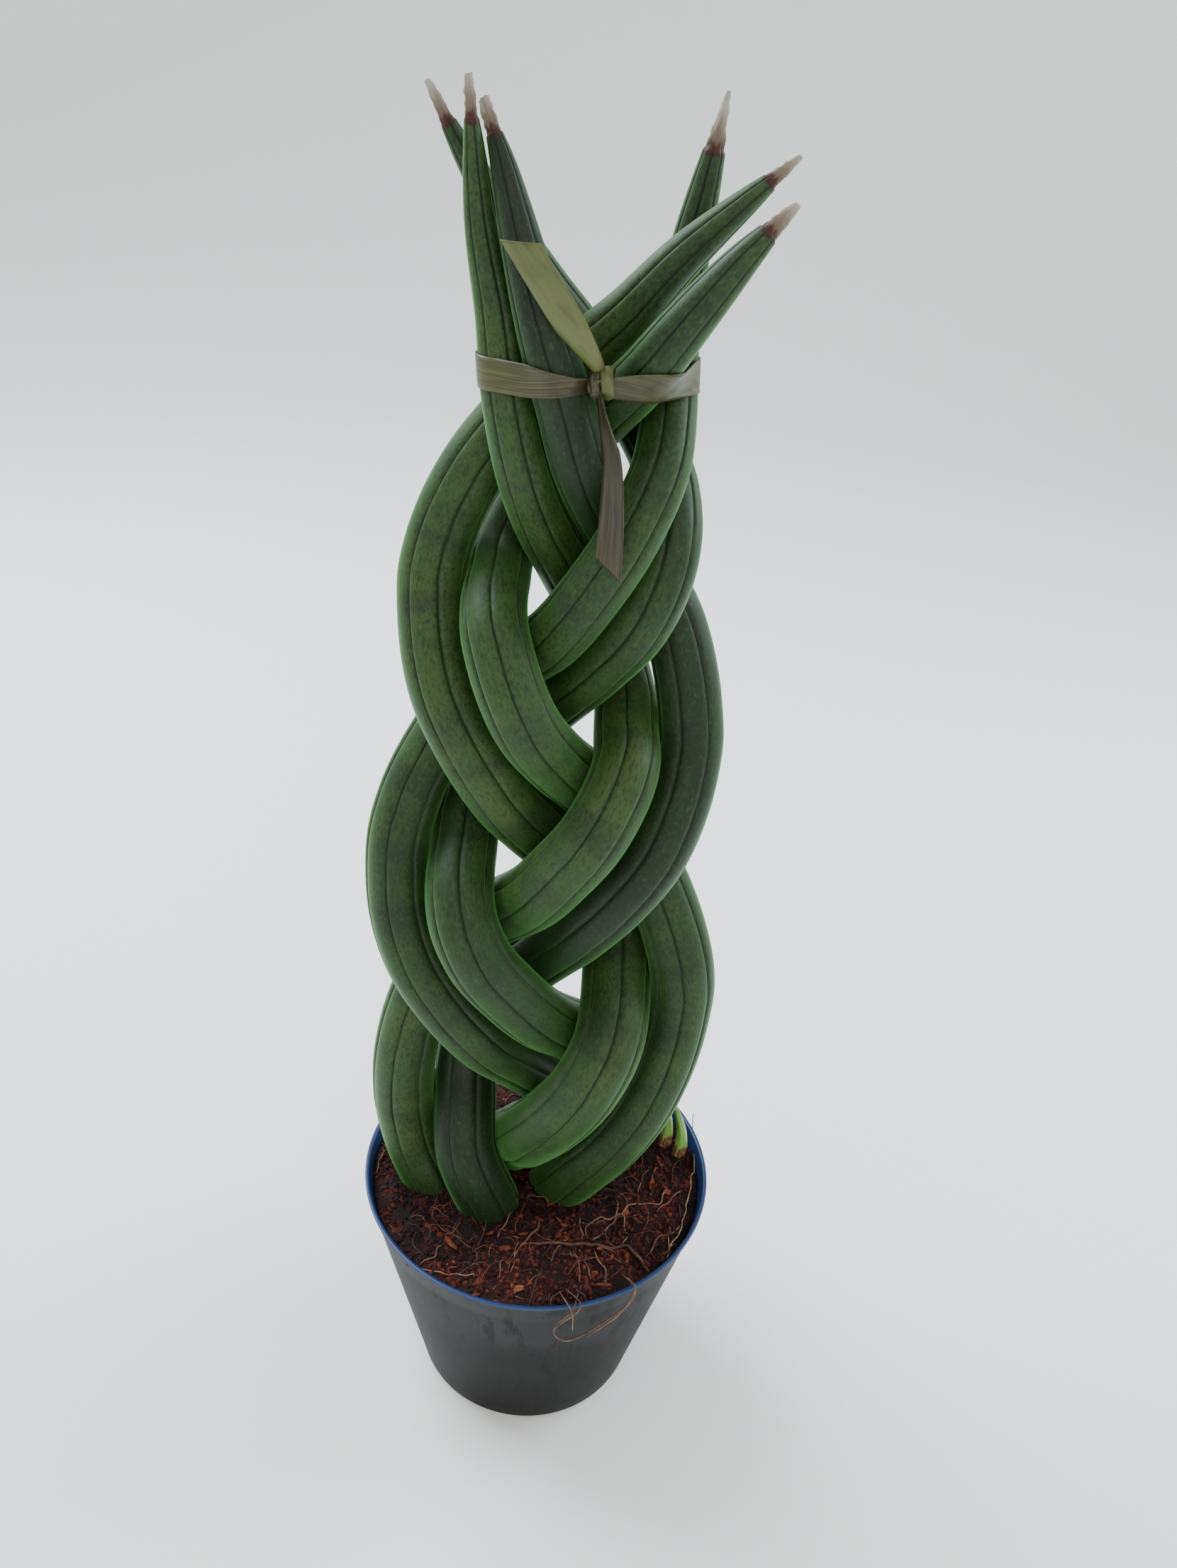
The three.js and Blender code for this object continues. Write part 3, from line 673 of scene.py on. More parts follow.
def leaf_reach(leaf, from_end):
    """Radius of a leaf at distances from its end, in millimetres."""
    def full(distance):
        grown = YOUNG_SHARE + (1 - YOUNG_SHARE) * np.minimum(1, distance / GROWN_LENGTH)
        taper = (1 - np.exp(-distance / leaf["slimness"])) ** BLUNTNESS
        return LEAF_RADIUS * leaf["girth"] * grown * taper

    base = full(leaf["dry_tip"]) * DRY_SHARE
    dry = leaf["tip_end"] + (base - leaf["tip_end"]) * from_end / leaf["dry_tip"]
    return np.where(from_end >= leaf["dry_tip"], full(from_end), dry)


def settle_braid(leaves):
    """Moves leaves apart where they come too close, and evens each leaf's bend, as in the solids."""
    start = np.array([even_path(leaf["route"], ROUTE_POINTS) for leaf in leaves])
    reaches = []
    for leaf, path in zip(leaves, start):
        lengths = arc_lengths(path)
        reaches.append(leaf_reach(leaf, lengths[-1] - lengths))
    reach = np.concatenate(reaches)
    owner = np.repeat(np.arange(len(leaves)), ROUTE_POINTS)
    apart = owner[:, None] != owner[None, :]
    need = reach[:, None] + reach[None, :] + SETTLE_GAP
    fall = math.radians(SETTLE_FALL)
    back = np.array([0, math.cos(fall), -math.sin(fall)])
    paths = start.copy()
    for step in range(SETTLE_ROUNDS):
        flat = paths.reshape(-1, 3)
        squares = (flat ** 2).sum(1)
        square = squares[:, None] + squares[None, :] - 2 * flat @ flat.T
        one, other = np.nonzero(apart & (square < need ** 2))
        between = flat[one] - flat[other]
        away = np.linalg.norm(between, axis=1)
        half = (need[one, other] - away) / 2 / away
        deep = (between @ back)[:, None] * back * (1 - SETTLE_ACROSS)
        push = (between * SETTLE_ACROSS + deep) * half[:, None]
        hits = np.maximum(np.bincount(one, minlength=len(flat)), 1)
        total = np.stack([np.bincount(one, push[:, axis], len(flat)) for axis in range(3)], axis=1)
        paths = (flat + total / hits[:, None]).reshape(paths.shape)
        moved = paths - start
        ends = np.concatenate([moved[:, :1], moved, moved[:, -1:]], axis=1)
        middle = (ends[:, :-2] + ends[:, 2:]) / 2
        even = SETTLE_EVEN if step < SETTLE_LAST_FROM else SETTLE_EVEN_LAST
        paths = paths + (middle - moved) * even
    return [smooth_curve(path, per_span=8) for path in paths]


def carry_frames(path):
    """Directions across a path that are carried along it without turning, as in the solids."""
    along = np.gradient(path, axis=0)
    along /= np.linalg.norm(along, axis=1)[:, None]
    across = np.array([1.0, 0, 0])
    sides = []
    for direction in along:
        across = across - direction * across.dot(direction)
        across /= np.linalg.norm(across)
        sides.append(across)
    sides = np.array(sides)
    return sides, np.cross(along, sides)


def keep_values(mesh, values):
    """Keeps named numbers or vectors for the vertices of a mesh."""
    for label, value in values.items():
        value = np.asarray(value, np.float32)
        kind, part = ("FLOAT_VECTOR", "vector") if value.ndim == 2 else ("FLOAT", "value")
        mesh.attributes.new(label, kind, "POINT").data.foreach_set(part, value.ravel())


def path_mesh(name, points, values):
    """A string of vertices in metres, with named values for each."""
    mesh = bpy.data.meshes.new(name)
    mesh.from_pydata(points * MM, [(i, i + 1) for i in range(len(points) - 1)], [])
    keep_values(mesh, values)
    return mesh


def stored(tree, name, kind="FLOAT"):
    """A mesh's own named value, in a geometry tree."""
    return add_node(tree, "GeometryNodeInputNamedAttribute", {"Name": name}, data_type=kind)


def close_tree(tree, geometry, material):
    """Ends a tree with real, smooth faces of one material."""
    real = add_node(tree, "GeometryNodeRealizeInstances", [geometry])
    smooth = add_node(tree, "GeometryNodeSetShadeSmooth", [real])
    finish = add_node(tree, "GeometryNodeSetMaterial", {"Geometry": smooth, "Material": material})
    add_node(tree, "NodeGroupOutput", [finish])
    return tree


def leaf_tree():
    """Sweeps a grooved section along a path. The section's grooves are notches between low lobes.
    It keeps skin, each point's place on the leaf laid out straight, in millimetres."""
    tree, given = new_tree("grooved_leaf", [
        ("Grooves", "Int"), ("Corners in a lobe", "Int"), ("Groove depth", "Float"),
        ("Groove width", "Float"), ("Lobe fall", "Float"), ("Shrivel", "Float"),
        ("Material", "Material"),
    ])
    reach = stored(tree, "reach")
    side = stored(tree, "side", "FLOAT_VECTOR")
    from_tip = stored(tree, "from_tip")
    withered = stored(tree, "withered")
    angle = stored(tree, "angle")
    path = add_node(tree, "GeometryNodeMeshToCurve", {"Mesh": given["Geometry"]})
    path = add_node(tree, "GeometryNodeSetCurveNormal", {"Curve": path, "Normal": side}, mode="FREE")

    corners = maths(tree, "MULTIPLY", given["Grooves"], given["Corners in a lobe"])
    ring = add_node(tree, "GeometryNodeCurvePrimitiveCircle", {"Resolution": corners, "Radius": 1.0})
    index = add_node(tree, "GeometryNodeInputIndex")
    lobe = maths(tree, "DIVIDE", index, given["Corners in a lobe"])
    # Corners crowd towards the grooves, where the notch is narrow.
    swing = maths(tree, "MULTIPLY", lobe, 2 * math.pi)
    swing = maths(tree, "SINE", swing)
    crowd = maths(tree, "MULTIPLY_ADD", swing, -0.86 / (2 * math.pi), lobe)
    turn = maths(tree, "DIVIDE", crowd, given["Grooves"])
    turn = maths(tree, "MULTIPLY", turn, 2 * math.pi)
    marked = store_in(tree, ring, "angle", turn, "FLOAT", "POINT")
    aside = maths(tree, "PINGPONG", crowd, 0.5)
    narrow = maths(tree, "DIVIDE", aside, given["Groove width"])
    narrow = maths(tree, "POWER", narrow, 2.0)
    narrow = maths(tree, "MULTIPLY", narrow, -1.0)
    notch = maths(tree, "EXPONENT", narrow)
    notch = maths(tree, "MULTIPLY", notch, given["Groove depth"])
    off_crown = maths(tree, "MULTIPLY_ADD", aside, -2.0, 1.0)
    off_crown = maths(tree, "POWER", off_crown, 2.0)
    fall = maths(tree, "MULTIPLY", off_crown, given["Lobe fall"])
    cut = maths(tree, "ADD", notch, fall)
    wide = maths(tree, "SUBTRACT", 1.0, cut)
    cosine = maths(tree, "COSINE", turn)
    sine = maths(tree, "SINE", turn)
    spoke = add_node(tree, "ShaderNodeCombineXYZ", [cosine, sine, 0.0])
    corner = stretch(tree, spoke, wide)
    section = add_node(tree, "GeometryNodeSetPosition", {"Geometry": marked, "Position": corner})
    swept = add_node(tree, "GeometryNodeCurveToMesh", {
        "Curve": path, "Profile Curve": section, "Scale": reach, "Fill Caps": True,
    })

    # The skin laid out straight, so that patterns follow the leaf round its bends.
    wide_mm = maths(tree, "MULTIPLY", reach, 1 / MM)
    cosine = maths(tree, "COSINE", angle)
    sine = maths(tree, "SINE", angle)
    spoke = add_node(tree, "ShaderNodeCombineXYZ", [cosine, sine, 0.0])
    spoke = stretch(tree, spoke, wide_mm)
    lift = add_node(tree, "ShaderNodeCombineXYZ", [0.0, 0.0, from_tip])
    straight = add_node(tree, "ShaderNodeVectorMath", [spoke, lift], operation="ADD")
    skin = store_in(tree, swept, "skin", straight, "FLOAT_VECTOR", "POINT")
    crease = noise_texture(tree, straight, 0.55, 2.0)
    crease = maths(tree, "SUBTRACT", crease, 0.5)
    depth = maths(tree, "MULTIPLY", withered, given["Shrivel"])
    depth = maths(tree, "MULTIPLY", depth, crease)
    outward = add_node(tree, "GeometryNodeInputNormal")
    shove = stretch(tree, outward, depth)
    creased = add_node(tree, "GeometryNodeSetPosition", {"Geometry": skin, "Offset": shove})
    return close_tree(tree, creased, given["Material"])


def waxy_leaf_skin():
    """Living leaf skin under a thin matt wax: clouded olive and blue green, finely flecked, with a
    line of painted shade in each groove. The dead tip is paper dry, red-brown where it meets the green."""
    material, tree = new_material("waxy_snake_plant_skin")
    skin = attribute(tree, "skin", "Vector")
    tone = attribute(tree, "tone")
    withered = attribute(tree, "withered")
    past_green = attribute(tree, "past_green")

    # Clouds of colour, about 30 mm long and 12 mm wide, from olive to blue green.
    long_place = scaled(tree, skin, (1 / 12, 1 / 12, 1 / 30))
    clouds = noise_texture(tree, long_place, 1.0, 3.0)
    tint = maths(tree, "ADD", clouds, tone)
    tint = map_range(tree, tint, 0.55, 1.45, 0.0, 1.0)
    green = ramp(tree, tint, [
        (0.0, "#0f1d0a"), (0.35, "#1b3311"), (0.65, "#2a421a"), (1.0, "#3d491e"),
    ])
    # Faint cross bands, 8 mm apart.
    band_place = scaled(tree, skin, (1 / 40, 1 / 40, 1 / 8))
    bands = noise_texture(tree, band_place, 1.0, 2.0)
    band = map_range(tree, bands, 0.48, 0.66, 0.0, 0.45)
    banded = blend(tree, band, green, linear("#121c0e"))
    # Flecks under a millimetre, darker and paler than the skin.
    fleck_place = scaled(tree, skin, (1.3, 1.3, 0.8))
    flecks = noise_texture(tree, fleck_place, 1.0, 4.0, 0.7)
    dark_fleck = map_range(tree, flecks, 0.5, 0.36, 0.0, 0.7)
    flecked = blend(tree, dark_fleck, banded, linear("#0d150a"))
    pale_fleck = map_range(tree, flecks, 0.56, 0.74, 0.0, 0.35)
    flecked = blend(tree, pale_fleck, flecked, linear("#55633c"))

    # The line in each groove is painted shade, 0.4 mm wide, and wanders a little.
    parts = add_node(tree, "ShaderNodeSeparateXYZ", [skin], give="X")
    across = add_node(tree, "ShaderNodeSeparateXYZ", [skin], give="Y")
    angle = maths(tree, "ARCTAN2", across, parts)
    lobes = maths(tree, "MULTIPLY", angle, GROOVES / (2 * math.pi))
    wander = noise_texture(tree, skin, 0.12, 2.0)
    wander = map_range(tree, wander, 0.0, 1.0, -0.05, 0.05)
    lobes = maths(tree, "ADD", lobes, wander)
    aside = maths(tree, "PINGPONG", lobes, 0.5)
    round_skin = add_node(tree, "ShaderNodeVectorMath", [skin, (1, 1, 0)], operation="MULTIPLY")
    wide = add_node(tree, "ShaderNodeVectorMath", [round_skin], operation="LENGTH", give="Value")
    lobe_width = maths(tree, "MULTIPLY", wide, 2 * math.pi / GROOVES)
    off_line = maths(tree, "MULTIPLY", aside, lobe_width)
    line = map_range(tree, off_line, 0.1, 0.42, 0.85, 0.0)
    lined = blend(tree, line, flecked, linear("#060a05"))

    # The dry tip: a red-brown band, then beige to grey-white paper.
    paper_place = scaled(tree, skin, (1.5, 1.5, 0.4))
    fibre = noise_texture(tree, paper_place, 1.0, 4.0)
    uneven = map_range(tree, fibre, 0.0, 1.0, -1.6, 1.6)
    depth = maths(tree, "ADD", past_green, uneven)
    share = map_range(tree, depth, -1.0, 9.0, 0.0, 1.0)
    paper = ramp(tree, share, [
        (0.0, "#1a0a08"), (0.12, "#330f0c"), (0.22, "#3d1b14"), (0.3, "#5a4c41"), (0.6, "#746759"),
        (1.0, "#a09990"),
    ])
    dead = map_range(tree, depth, -1.1, -0.7, 0.0, 1.0)
    colour = blend(tree, dead, lined, paper)

    grain_place = scaled(tree, skin, (2.4, 2.4, 0.3))
    grain = noise_texture(tree, grain_place, 1.0, 3.0)
    relief = maths(tree, "ADD", grain, flecks)
    relief = add_node(tree, "ShaderNodeBump", {
        "Strength": 0.35, "Distance": 0.12 * MM, "Height": relief,
    })
    rough = map_range(tree, clouds, 0.3, 0.7, 0.5, 0.62)
    return surface(material, {
        "Base Color": colour, "Roughness": rough, "Specular IOR Level": 0.28, "Normal": relief,
        "Sheen Weight": 0.4, "Sheen Roughness": 0.4, "Sheen Tint": linear("#86dc7c"),
    })


def leaf_path(name, leaf, curve):
    """The middle line of one settled leaf, with the values that its skin is swept from. The skin is
    TOUCH thicker than the solid, so that the leaves touch."""
    lengths = arc_lengths(curve)
    whole = lengths[-1]
    dry_steps = np.linspace(0.02, 1, 16) ** 0.8 * leaf["dry_tip"]
    body_steps = np.linspace(leaf["dry_tip"] * 1.02, whole, int(whole / STATION_STEP))
    from_end = np.concatenate([dry_steps, body_steps])[::-1]
    points = along_curve(curve, whole - from_end)
    sides, _ = carry_frames(points)
    return path_mesh(name, points, {
        "reach": (leaf_reach(leaf, from_end) + TOUCH * np.minimum(1, from_end / TOUCH_FROM)) * MM,
        "side": sides,
        "from_tip": from_end,
        "past_green": leaf["dry_tip"] - from_end,
        "withered": np.clip((leaf["dry_tip"] - from_end) / 2, 0, 1),
        "tone": np.full(len(points), leaf["tone"]),
    })


GROOVED_LEAF = leaf_tree()
LEAF_SKIN = waxy_leaf_skin()
BRAID = settle_braid(list(LEAVES.values()))
for (name, leaf), curve in zip(LEAVES.items(), BRAID):
    piece = link_object(f"{name}_skin", leaf_path(name, leaf, curve))
    grow(piece, GROOVED_LEAF, {
        "Grooves": GROOVES, "Corners in a lobe": 12, "Groove depth": 0.05, "Groove width": 0.045,
        "Lobe fall": 0.03, "Shrivel": 1.6 * MM, "Material": LEAF_SKIN,
    })
    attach(piece, "root")
    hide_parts(name)

# Young shoots
# Two new leaves push up beside the braid from a stem under the soil. They are soft, bright green
# and finely grooved, and their feet are wrapped in brown, papery sheaths.
SHOOT_GROOVES = 5
SHOOT_TIP_SHARE = 0.25
SHOOT_SWELL = 1.6
SHOOTS = {
    "left_shoot": {"route": [(44, 16, 68), (46, 17, 82), (46, 17, 94), (42, 18, 108)], "radius": 2.2},
    "right_shoot": {"route": [(46, 14, 68), (51, 13, 82), (51, 13, 93), (47, 14, 106)], "radius": 2.3},
}
SHOOT_STATIONS = 40
SHEATH_LENGTH = 20
SHEATH_LOOSE = 0.8
SHEATH_HUG = 0.6
SHEATH_STATIONS = 24


def young_skin():
    """New leaf skin, thin and juicy: bright yellow green, a little shiny, with darker streaks along it.
    """
    material, tree = new_material("soft_new_leaf_skin")
    skin = attribute(tree, "skin", "Vector")
    from_tip = add_node(tree, "ShaderNodeSeparateXYZ", [skin], give="Z")
    down = map_range(tree, from_tip, 0.0, 30.0, 0.0, 1.0)
    ground = ramp(tree, down, [
        (0.0, "#567f3c"), (0.3, "#6f9f4a"), (0.7, "#8ab65c"), (1.0, "#a9c47c"),
    ])
    long_place = scaled(tree, skin, (1.6, 1.6, 0.12))
    stripes = noise_texture(tree, long_place, 1.0, 3.0)
    stripe = map_range(tree, stripes, 0.5, 0.72, 0.0, 0.55)
    colour = blend(tree, stripe, ground, linear("#3f6a2c"))
    return surface(material, {
        "Base Color": colour, "Roughness": 0.38, "Subsurface Weight": 0.08, "Subsurface Scale": 2 * MM,
    })


def papery_sheath():
    """Dried scale leaves: brown, brittle and fibrous, with no shine."""
    material, tree = new_material("dried_scale_leaf")
    skin = attribute(tree, "skin", "Vector")
    long_place = scaled(tree, skin, (1.8, 1.8, 0.2))
    fibres = noise_texture(tree, long_place, 1.0, 4.0)
    colour = ramp(tree, fibres, [
        (0.3, "#3a2418"), (0.5, "#6d4a31"), (0.7, "#a3825a"),
    ])
    return surface(material, {"Base Color": colour, "Roughness": 0.8})


def stem_path(name, points, reach, withered):
    """A path for the leaf tree from foot to tip, for a stem that is fresh or withered all along."""
    lengths = arc_lengths(points)
    sides, _ = carry_frames(points)
    return path_mesh(name, points, {
        "reach": reach * MM,
        "side": sides,
        "from_tip": lengths[-1] - lengths,
        "withered": np.full(len(points), withered),
    })


YOUNG_SKIN = young_skin()
SHEATH = papery_sheath()
for name, shoot in SHOOTS.items():
    line = even_path(shoot["route"], SHOOT_STATIONS)
    left = 1 - arc_lengths(line) / arc_lengths(line)[-1]
    thick = shoot["radius"] * np.minimum(1, SHOOT_TIP_SHARE + SHOOT_SWELL * left)
    piece = link_object(name, stem_path(name, line, thick, 0))
    grow(piece, GROOVED_LEAF, {
        "Grooves": SHOOT_GROOVES, "Corners in a lobe": 6, "Groove depth": 0.1, "Groove width": 0.12,
        "Lobe fall": 0.04, "Shrivel": 0.0, "Material": YOUNG_SKIN,
    })
    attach(piece, "root")
    if name == "left_shoot":
        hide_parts("offset")

    foot = along_curve(line, np.linspace(0, SHEATH_LENGTH, SHEATH_STATIONS))
    loose = SHEATH_LOOSE * np.linspace(1, 0, SHEATH_STATIONS) ** SHEATH_HUG
    sheath_name = f"{name}_sheath"
    sheath = link_object(sheath_name, stem_path(sheath_name, foot, shoot["radius"] + loose, 1))
    grow(sheath, GROOVED_LEAF, {
        "Grooves": 6, "Corners in a lobe": 6, "Groove depth": 0.12, "Groove width": 0.1,
        "Lobe fall": 0.05, "Shrivel": 1.2 * MM, "Material": SHEATH,
    })
    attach(sheath, "root")

# Ribbon
# A flat strip of polypropylene ribbon, wound round all six leaves, drawn tight and tied in front
# with one knot. It is gathered narrow at the knot, and its two cut tails stand up and hang down.
RIBBON_WIDTH = 7.6
RIBBON_THICK = 0.35
RIBBON_HEIGHT = 356
RIBBON_GAP = 0.75
GATHERED_SHARE = 0.42
GATHERED_LENGTH = 20
KNOT_CENTRE = (2, -14.5, 357)
KNOT_PINNED = (1, -12)
LOOP_POINTS = 72
LOOP_ROUNDS = 1500
LOOP_SPLIT = 3
LOOP_START = 60
STRIP_ROWS = 9
BAND_CUP = 0.9
TAIL_STATIONS = 48
TAIL_OPENS = 15
TAIL_FLATTENS = 0.7
KNOT_RADII = (2.7, 2.5, 3.6)
KNOT_SIDES = 56
KNOT_ROWS = 32
KNOT_CREASES = 5
KNOT_CREASE = 0.16
KNOT_BULGE = 0.14
KNOT_SHIFT = (-0.6, 0, -0.4)
WRAP_STATIONS = 64
WRAP_WIDTH = 2.8
WRAP_RADII = (3.1, 3.3)
WRAP_SHIFT = (1.5, -0.2)
WRAP_BULGE = 0.35
# Each tail: its route, its turn about it at both ends, how far its edges cup at the knot, how much
# further one edge reaches than the other at its cut end, its gathered share of the full width, and
# its tone at both ends, which is painted light on the upper tail and painted shade on the lower.
TAILS = {
    "upper_tail": {
        "route": [(2, -15, 358), (-1, -18, 363), (-9, -21, 374), (-19, -22, 388)],
        "turn": (0, 0), "cup": 1.1, "slant": 5.0, "gathered": 0.35, "tones": (0.95, 0.8),
    },
    "lower_tail": {
        "route": [(2, -15, 356), (4, -19, 348), (6, -20, 341), (7, -22, 328), (7, -23, 312)],
        "turn": (80, 30), "cup": 0.9, "slant": -5.0, "gathered": 0.3, "tones": (0.1, 0.3),
    },
}


def ribbon_film():
    """Drawn polypropylene ribbon: olive green film, silky along its fine drawn lines,
    dulled and browned in places by handling. Its tone ramp paints light and shade on it, from dark
    brown as painted shade to bright olive as painted light."""
    material, tree = new_material("drawn_polypropylene_ribbon")
    lay = attribute(tree, "lay", "Vector")
    tone = attribute(tree, "tone")
    line_place = scaled(tree, lay, (0.05, 2.6, 1.0))
    lines = noise_texture(tree, line_place, 1.0, 4.0)
    patch_place = scaled(tree, lay, (0.12, 0.3, 1.0))
    patches = noise_texture(tree, patch_place, 1.0, 2.0)
    ground = ramp(tree, tone, [
        (0.0, "#18130a"), (0.3, "#282010"), (0.6, "#3b401f"), (1.0, "#56622c"),
    ])
    streak = map_range(tree, lines, 0.42, 0.7, 0.0, 0.5)
    lined = blend(tree, streak, ground, linear("#665f3c"))
    worn = map_range(tree, patches, 0.5, 0.75, 0.0, 0.5)
    colour = blend(tree, worn, lined, linear("#1f180c"))
    relief = add_node(tree, "ShaderNodeBump", {"Strength": 0.3, "Distance": 0.1 * MM, "Height": lines})
    return surface(material, {
        "Base Color": colour, "Roughness": 0.42, "Specular IOR Level": 0.4, "Normal": relief,
    })


def strip_piece(name, grid, tones, closed=False):
    """A strip of ribbon from a grid of points in millimetres, along it and then across it."""
    stations, rows = grid.shape[:2]
    lengths = arc_lengths(grid[:, rows // 2])
    widths = np.linalg.norm(grid - grid[:, :1], axis=2)
    faces = []
    for i in range(stations if closed else stations - 1):
        after = (i + 1) % stations
        for j in range(rows - 1):
            faces.append((i * rows + j, after * rows + j, after * rows + j + 1, i * rows + j + 1))
    mesh = bpy.data.meshes.new(name)
    mesh.from_pydata(grid.reshape(-1, 3) * MM, [], faces)
    lay = np.stack([np.repeat(lengths[:, None], rows, 1), widths, widths * 0], axis=2)
    keep_values(mesh, {"lay": lay.reshape(-1, 3), "tone": np.repeat(tones, rows)})
    mesh.shade_smooth()
    mesh.materials.append(RIBBON_FILM)
    piece = link_object(name, mesh)
    film = piece.modifiers.new("film", "SOLIDIFY")
    film.thickness = RIBBON_THICK * MM
    film.offset = 0
    bake_modifiers(piece)
    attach(piece, "root")
    return piece


def taut_loop(height):
    """The loop that a thread pulled tight round the leaves makes at one height."""
    posts = []
    for leaf, curve in zip(LEAVES.values(), BRAID):
        whole = arc_lengths(curve)[-1]
        distances = np.linspace(0, whole, round(whole))
        reach = leaf_reach(leaf, whole - distances) + RIBBON_GAP
        for (x, y, z), wide in zip(along_curve(curve, distances), reach):
            if abs(z - height) < wide:
                posts.append((x, y, math.sqrt(wide ** 2 - (z - height) ** 2)))
    posts = np.array(posts)
    turns = -math.pi / 2 + np.arange(LOOP_POINTS) / LOOP_POINTS * 2 * math.pi
    loop = LOOP_START * np.stack([np.cos(turns), np.sin(turns)], axis=1)
    for _ in range(LOOP_ROUNDS):
        for part in (0, 1):
            pulled = (np.roll(loop, 1, axis=0) + np.roll(loop, -1, axis=0)) / 2
            loop[part::2] = pulled[part::2]
        away = loop[:, None] - posts[None, :, :2]
        far = np.linalg.norm(away, axis=2)
        inside = posts[None, :, 2] - far
        deepest = inside.argmax(axis=1)
        row = np.arange(LOOP_POINTS)
        push = np.maximum(inside[row, deepest], 0) / far[row, deepest]
        loop += away[row, deepest] * push[:, None]
        loop[0] = KNOT_PINNED
    return smooth_curve(np.vstack([loop, loop[:1]]), LOOP_SPLIT)[:-1]


def band_grid():
    """The band round the leaves, gathered and cupped towards the knot."""
    parts = np.linspace(-0.5, 0.5, 5)
    loops = np.array([taut_loop(RIBBON_HEIGHT + part * RIBBON_WIDTH) for part in parts])
    lengths = arc_lengths(loops[2])
    from_knot = np.minimum(lengths, lengths[-1] - lengths)
    opened = np.clip(from_knot / GATHERED_LENGTH, 0, 1)
    share = GATHERED_SHARE + (1 - GATHERED_SHARE) * (3 - 2 * opened) * opened ** 2
    around = len(lengths)
    grid = np.zeros((around, STRIP_ROWS, 3))
    for k in range(around):
        ahead = loops[2][(k + 1) % around] - loops[2][k - 1]
        outward = np.array([ahead[1], -ahead[0]]) / np.linalg.norm(ahead)
        for j, across in enumerate(np.linspace(-0.5, 0.5, STRIP_ROWS)):
            part = across * share[k]
            place = [np.interp(part, parts, loops[:, k, axis]) for axis in range(2)]
            lift = BAND_CUP * (1 - opened[k]) * (4 * across ** 2)
            grid[k, j, :2] = place + outward * lift
            grid[k, j, 2] = RIBBON_HEIGHT + part * RIBBON_WIDTH
    return grid, from_knot


def tail_grid(tail):
    """A tail of the ribbon: gathered and cupped at the knot, and cut off at a slant."""
    line = smooth_curve(tail["route"])
    whole = arc_lengths(line)[-1]
    sides, rises = carry_frames(line)
    lengths = arc_lengths(line)
    shares = np.linspace(0, 1, TAIL_STATIONS)
    grid = np.zeros((len(shares), STRIP_ROWS, 3))
    for j, across in enumerate(np.linspace(-0.5, 0.5, STRIP_ROWS)):
        distances = shares * (whole - abs(tail["slant"]) / 2 + tail["slant"] * -across)
        points = along_curve(line, distances)
        side = np.stack([np.interp(distances, lengths, sides[:, axis]) for axis in range(3)], axis=1)
        rise = np.stack([np.interp(distances, lengths, rises[:, axis]) for axis in range(3)], axis=1)
        opened = np.clip(distances / TAIL_OPENS, 0, 1)
        width = RIBBON_WIDTH * (tail["gathered"] + (1 - tail["gathered"]) * opened)
        angle = np.radians(tail["turn"][0] + (tail["turn"][1] - tail["turn"][0]) * distances / whole)
        u = across * width
        v = tail["cup"] * (1 - TAIL_FLATTENS * opened) * (4 * across ** 2)
        grid[:, j] = points + side * (u * np.cos(angle) - v * np.sin(angle))[:, None]
        grid[:, j] += rise * (u * np.sin(angle) + v * np.cos(angle))[:, None]
    return grid


def knot_core():
    """The ribbon pulled through itself: a small hard bundle with deep creases along it."""
    turns = [math.pi * k / KNOT_ROWS for k in range(1, KNOT_ROWS)]
    profile = [(0, -1)] + [(math.sin(t), -math.cos(t)) for t in turns] + [(0, 1)]
    mesh = lathe_mesh("knot_core", profile, KNOT_SIDES)
    for vert in mesh.vertices:
        turn = math.atan2(vert.co.y, vert.co.x)
        crease = KNOT_CREASE * abs(math.sin(turn * KNOT_CREASES + vert.co.z * 1.4)) ** 0.7
        bulge = KNOT_BULGE * noise.noise(vert.co * 2.1)
        vert.co *= 0.9 + crease + bulge
        vert.co = (vert.co * Vector(KNOT_RADII) + Vector(KNOT_CENTRE) + Vector(KNOT_SHIFT)) * MM
    places = np.array([vert.co for vert in mesh.vertices]) / MM
    lay = np.stack([places[:, 2] * 0.3, places[:, 0] * 1.5, places[:, 1]], axis=1)
    # The core's low tone is painted shade.
    keep_values(mesh, {"lay": lay, "tone": np.full(len(places), 0.15)})
    mesh.materials.append(RIBBON_FILM)
    core = link_object("knot_core", mesh)
    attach(core, "root")


def knot_wrap():
    """The turn of ribbon that closes the knot, standing upright over its right half."""
    turns = np.linspace(0, 2 * math.pi, WRAP_STATIONS, endpoint=False)
    grid = np.zeros((len(turns), STRIP_ROWS, 3))
    for j, across in enumerate(np.linspace(-0.5, 0.5, STRIP_ROWS)):
        bulge = WRAP_BULGE * (1 - 4 * across ** 2)
        lean = 0.25 * np.sin(turns * 2)
        grid[:, j, 0] = KNOT_CENTRE[0] + WRAP_SHIFT[0] + across * WRAP_WIDTH + lean
        grid[:, j, 1] = KNOT_CENTRE[1] + (WRAP_RADII[0] + bulge) * np.cos(turns)
        grid[:, j, 2] = KNOT_CENTRE[2] + WRAP_SHIFT[1] + (WRAP_RADII[1] + bulge) * np.sin(turns)
    # The wrap's high tone is a painted highlight.
    strip_piece("knot_wrap", grid, np.full(len(turns), 0.75), closed=True)


RIBBON_FILM = ribbon_film()
loop_grid, from_knot = band_grid()
# The band's tone is darker towards the knot.
band = strip_piece("ribbon_band", loop_grid, np.clip(0.25 + from_knot * 0.012, 0, 0.6), closed=True)
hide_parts("ribbon")
knot_core()
knot_wrap()
for name, tail in TAILS.items():
    strip_piece(name, tail_grid(tail), np.linspace(*tail["tones"], TAIL_STATIONS))

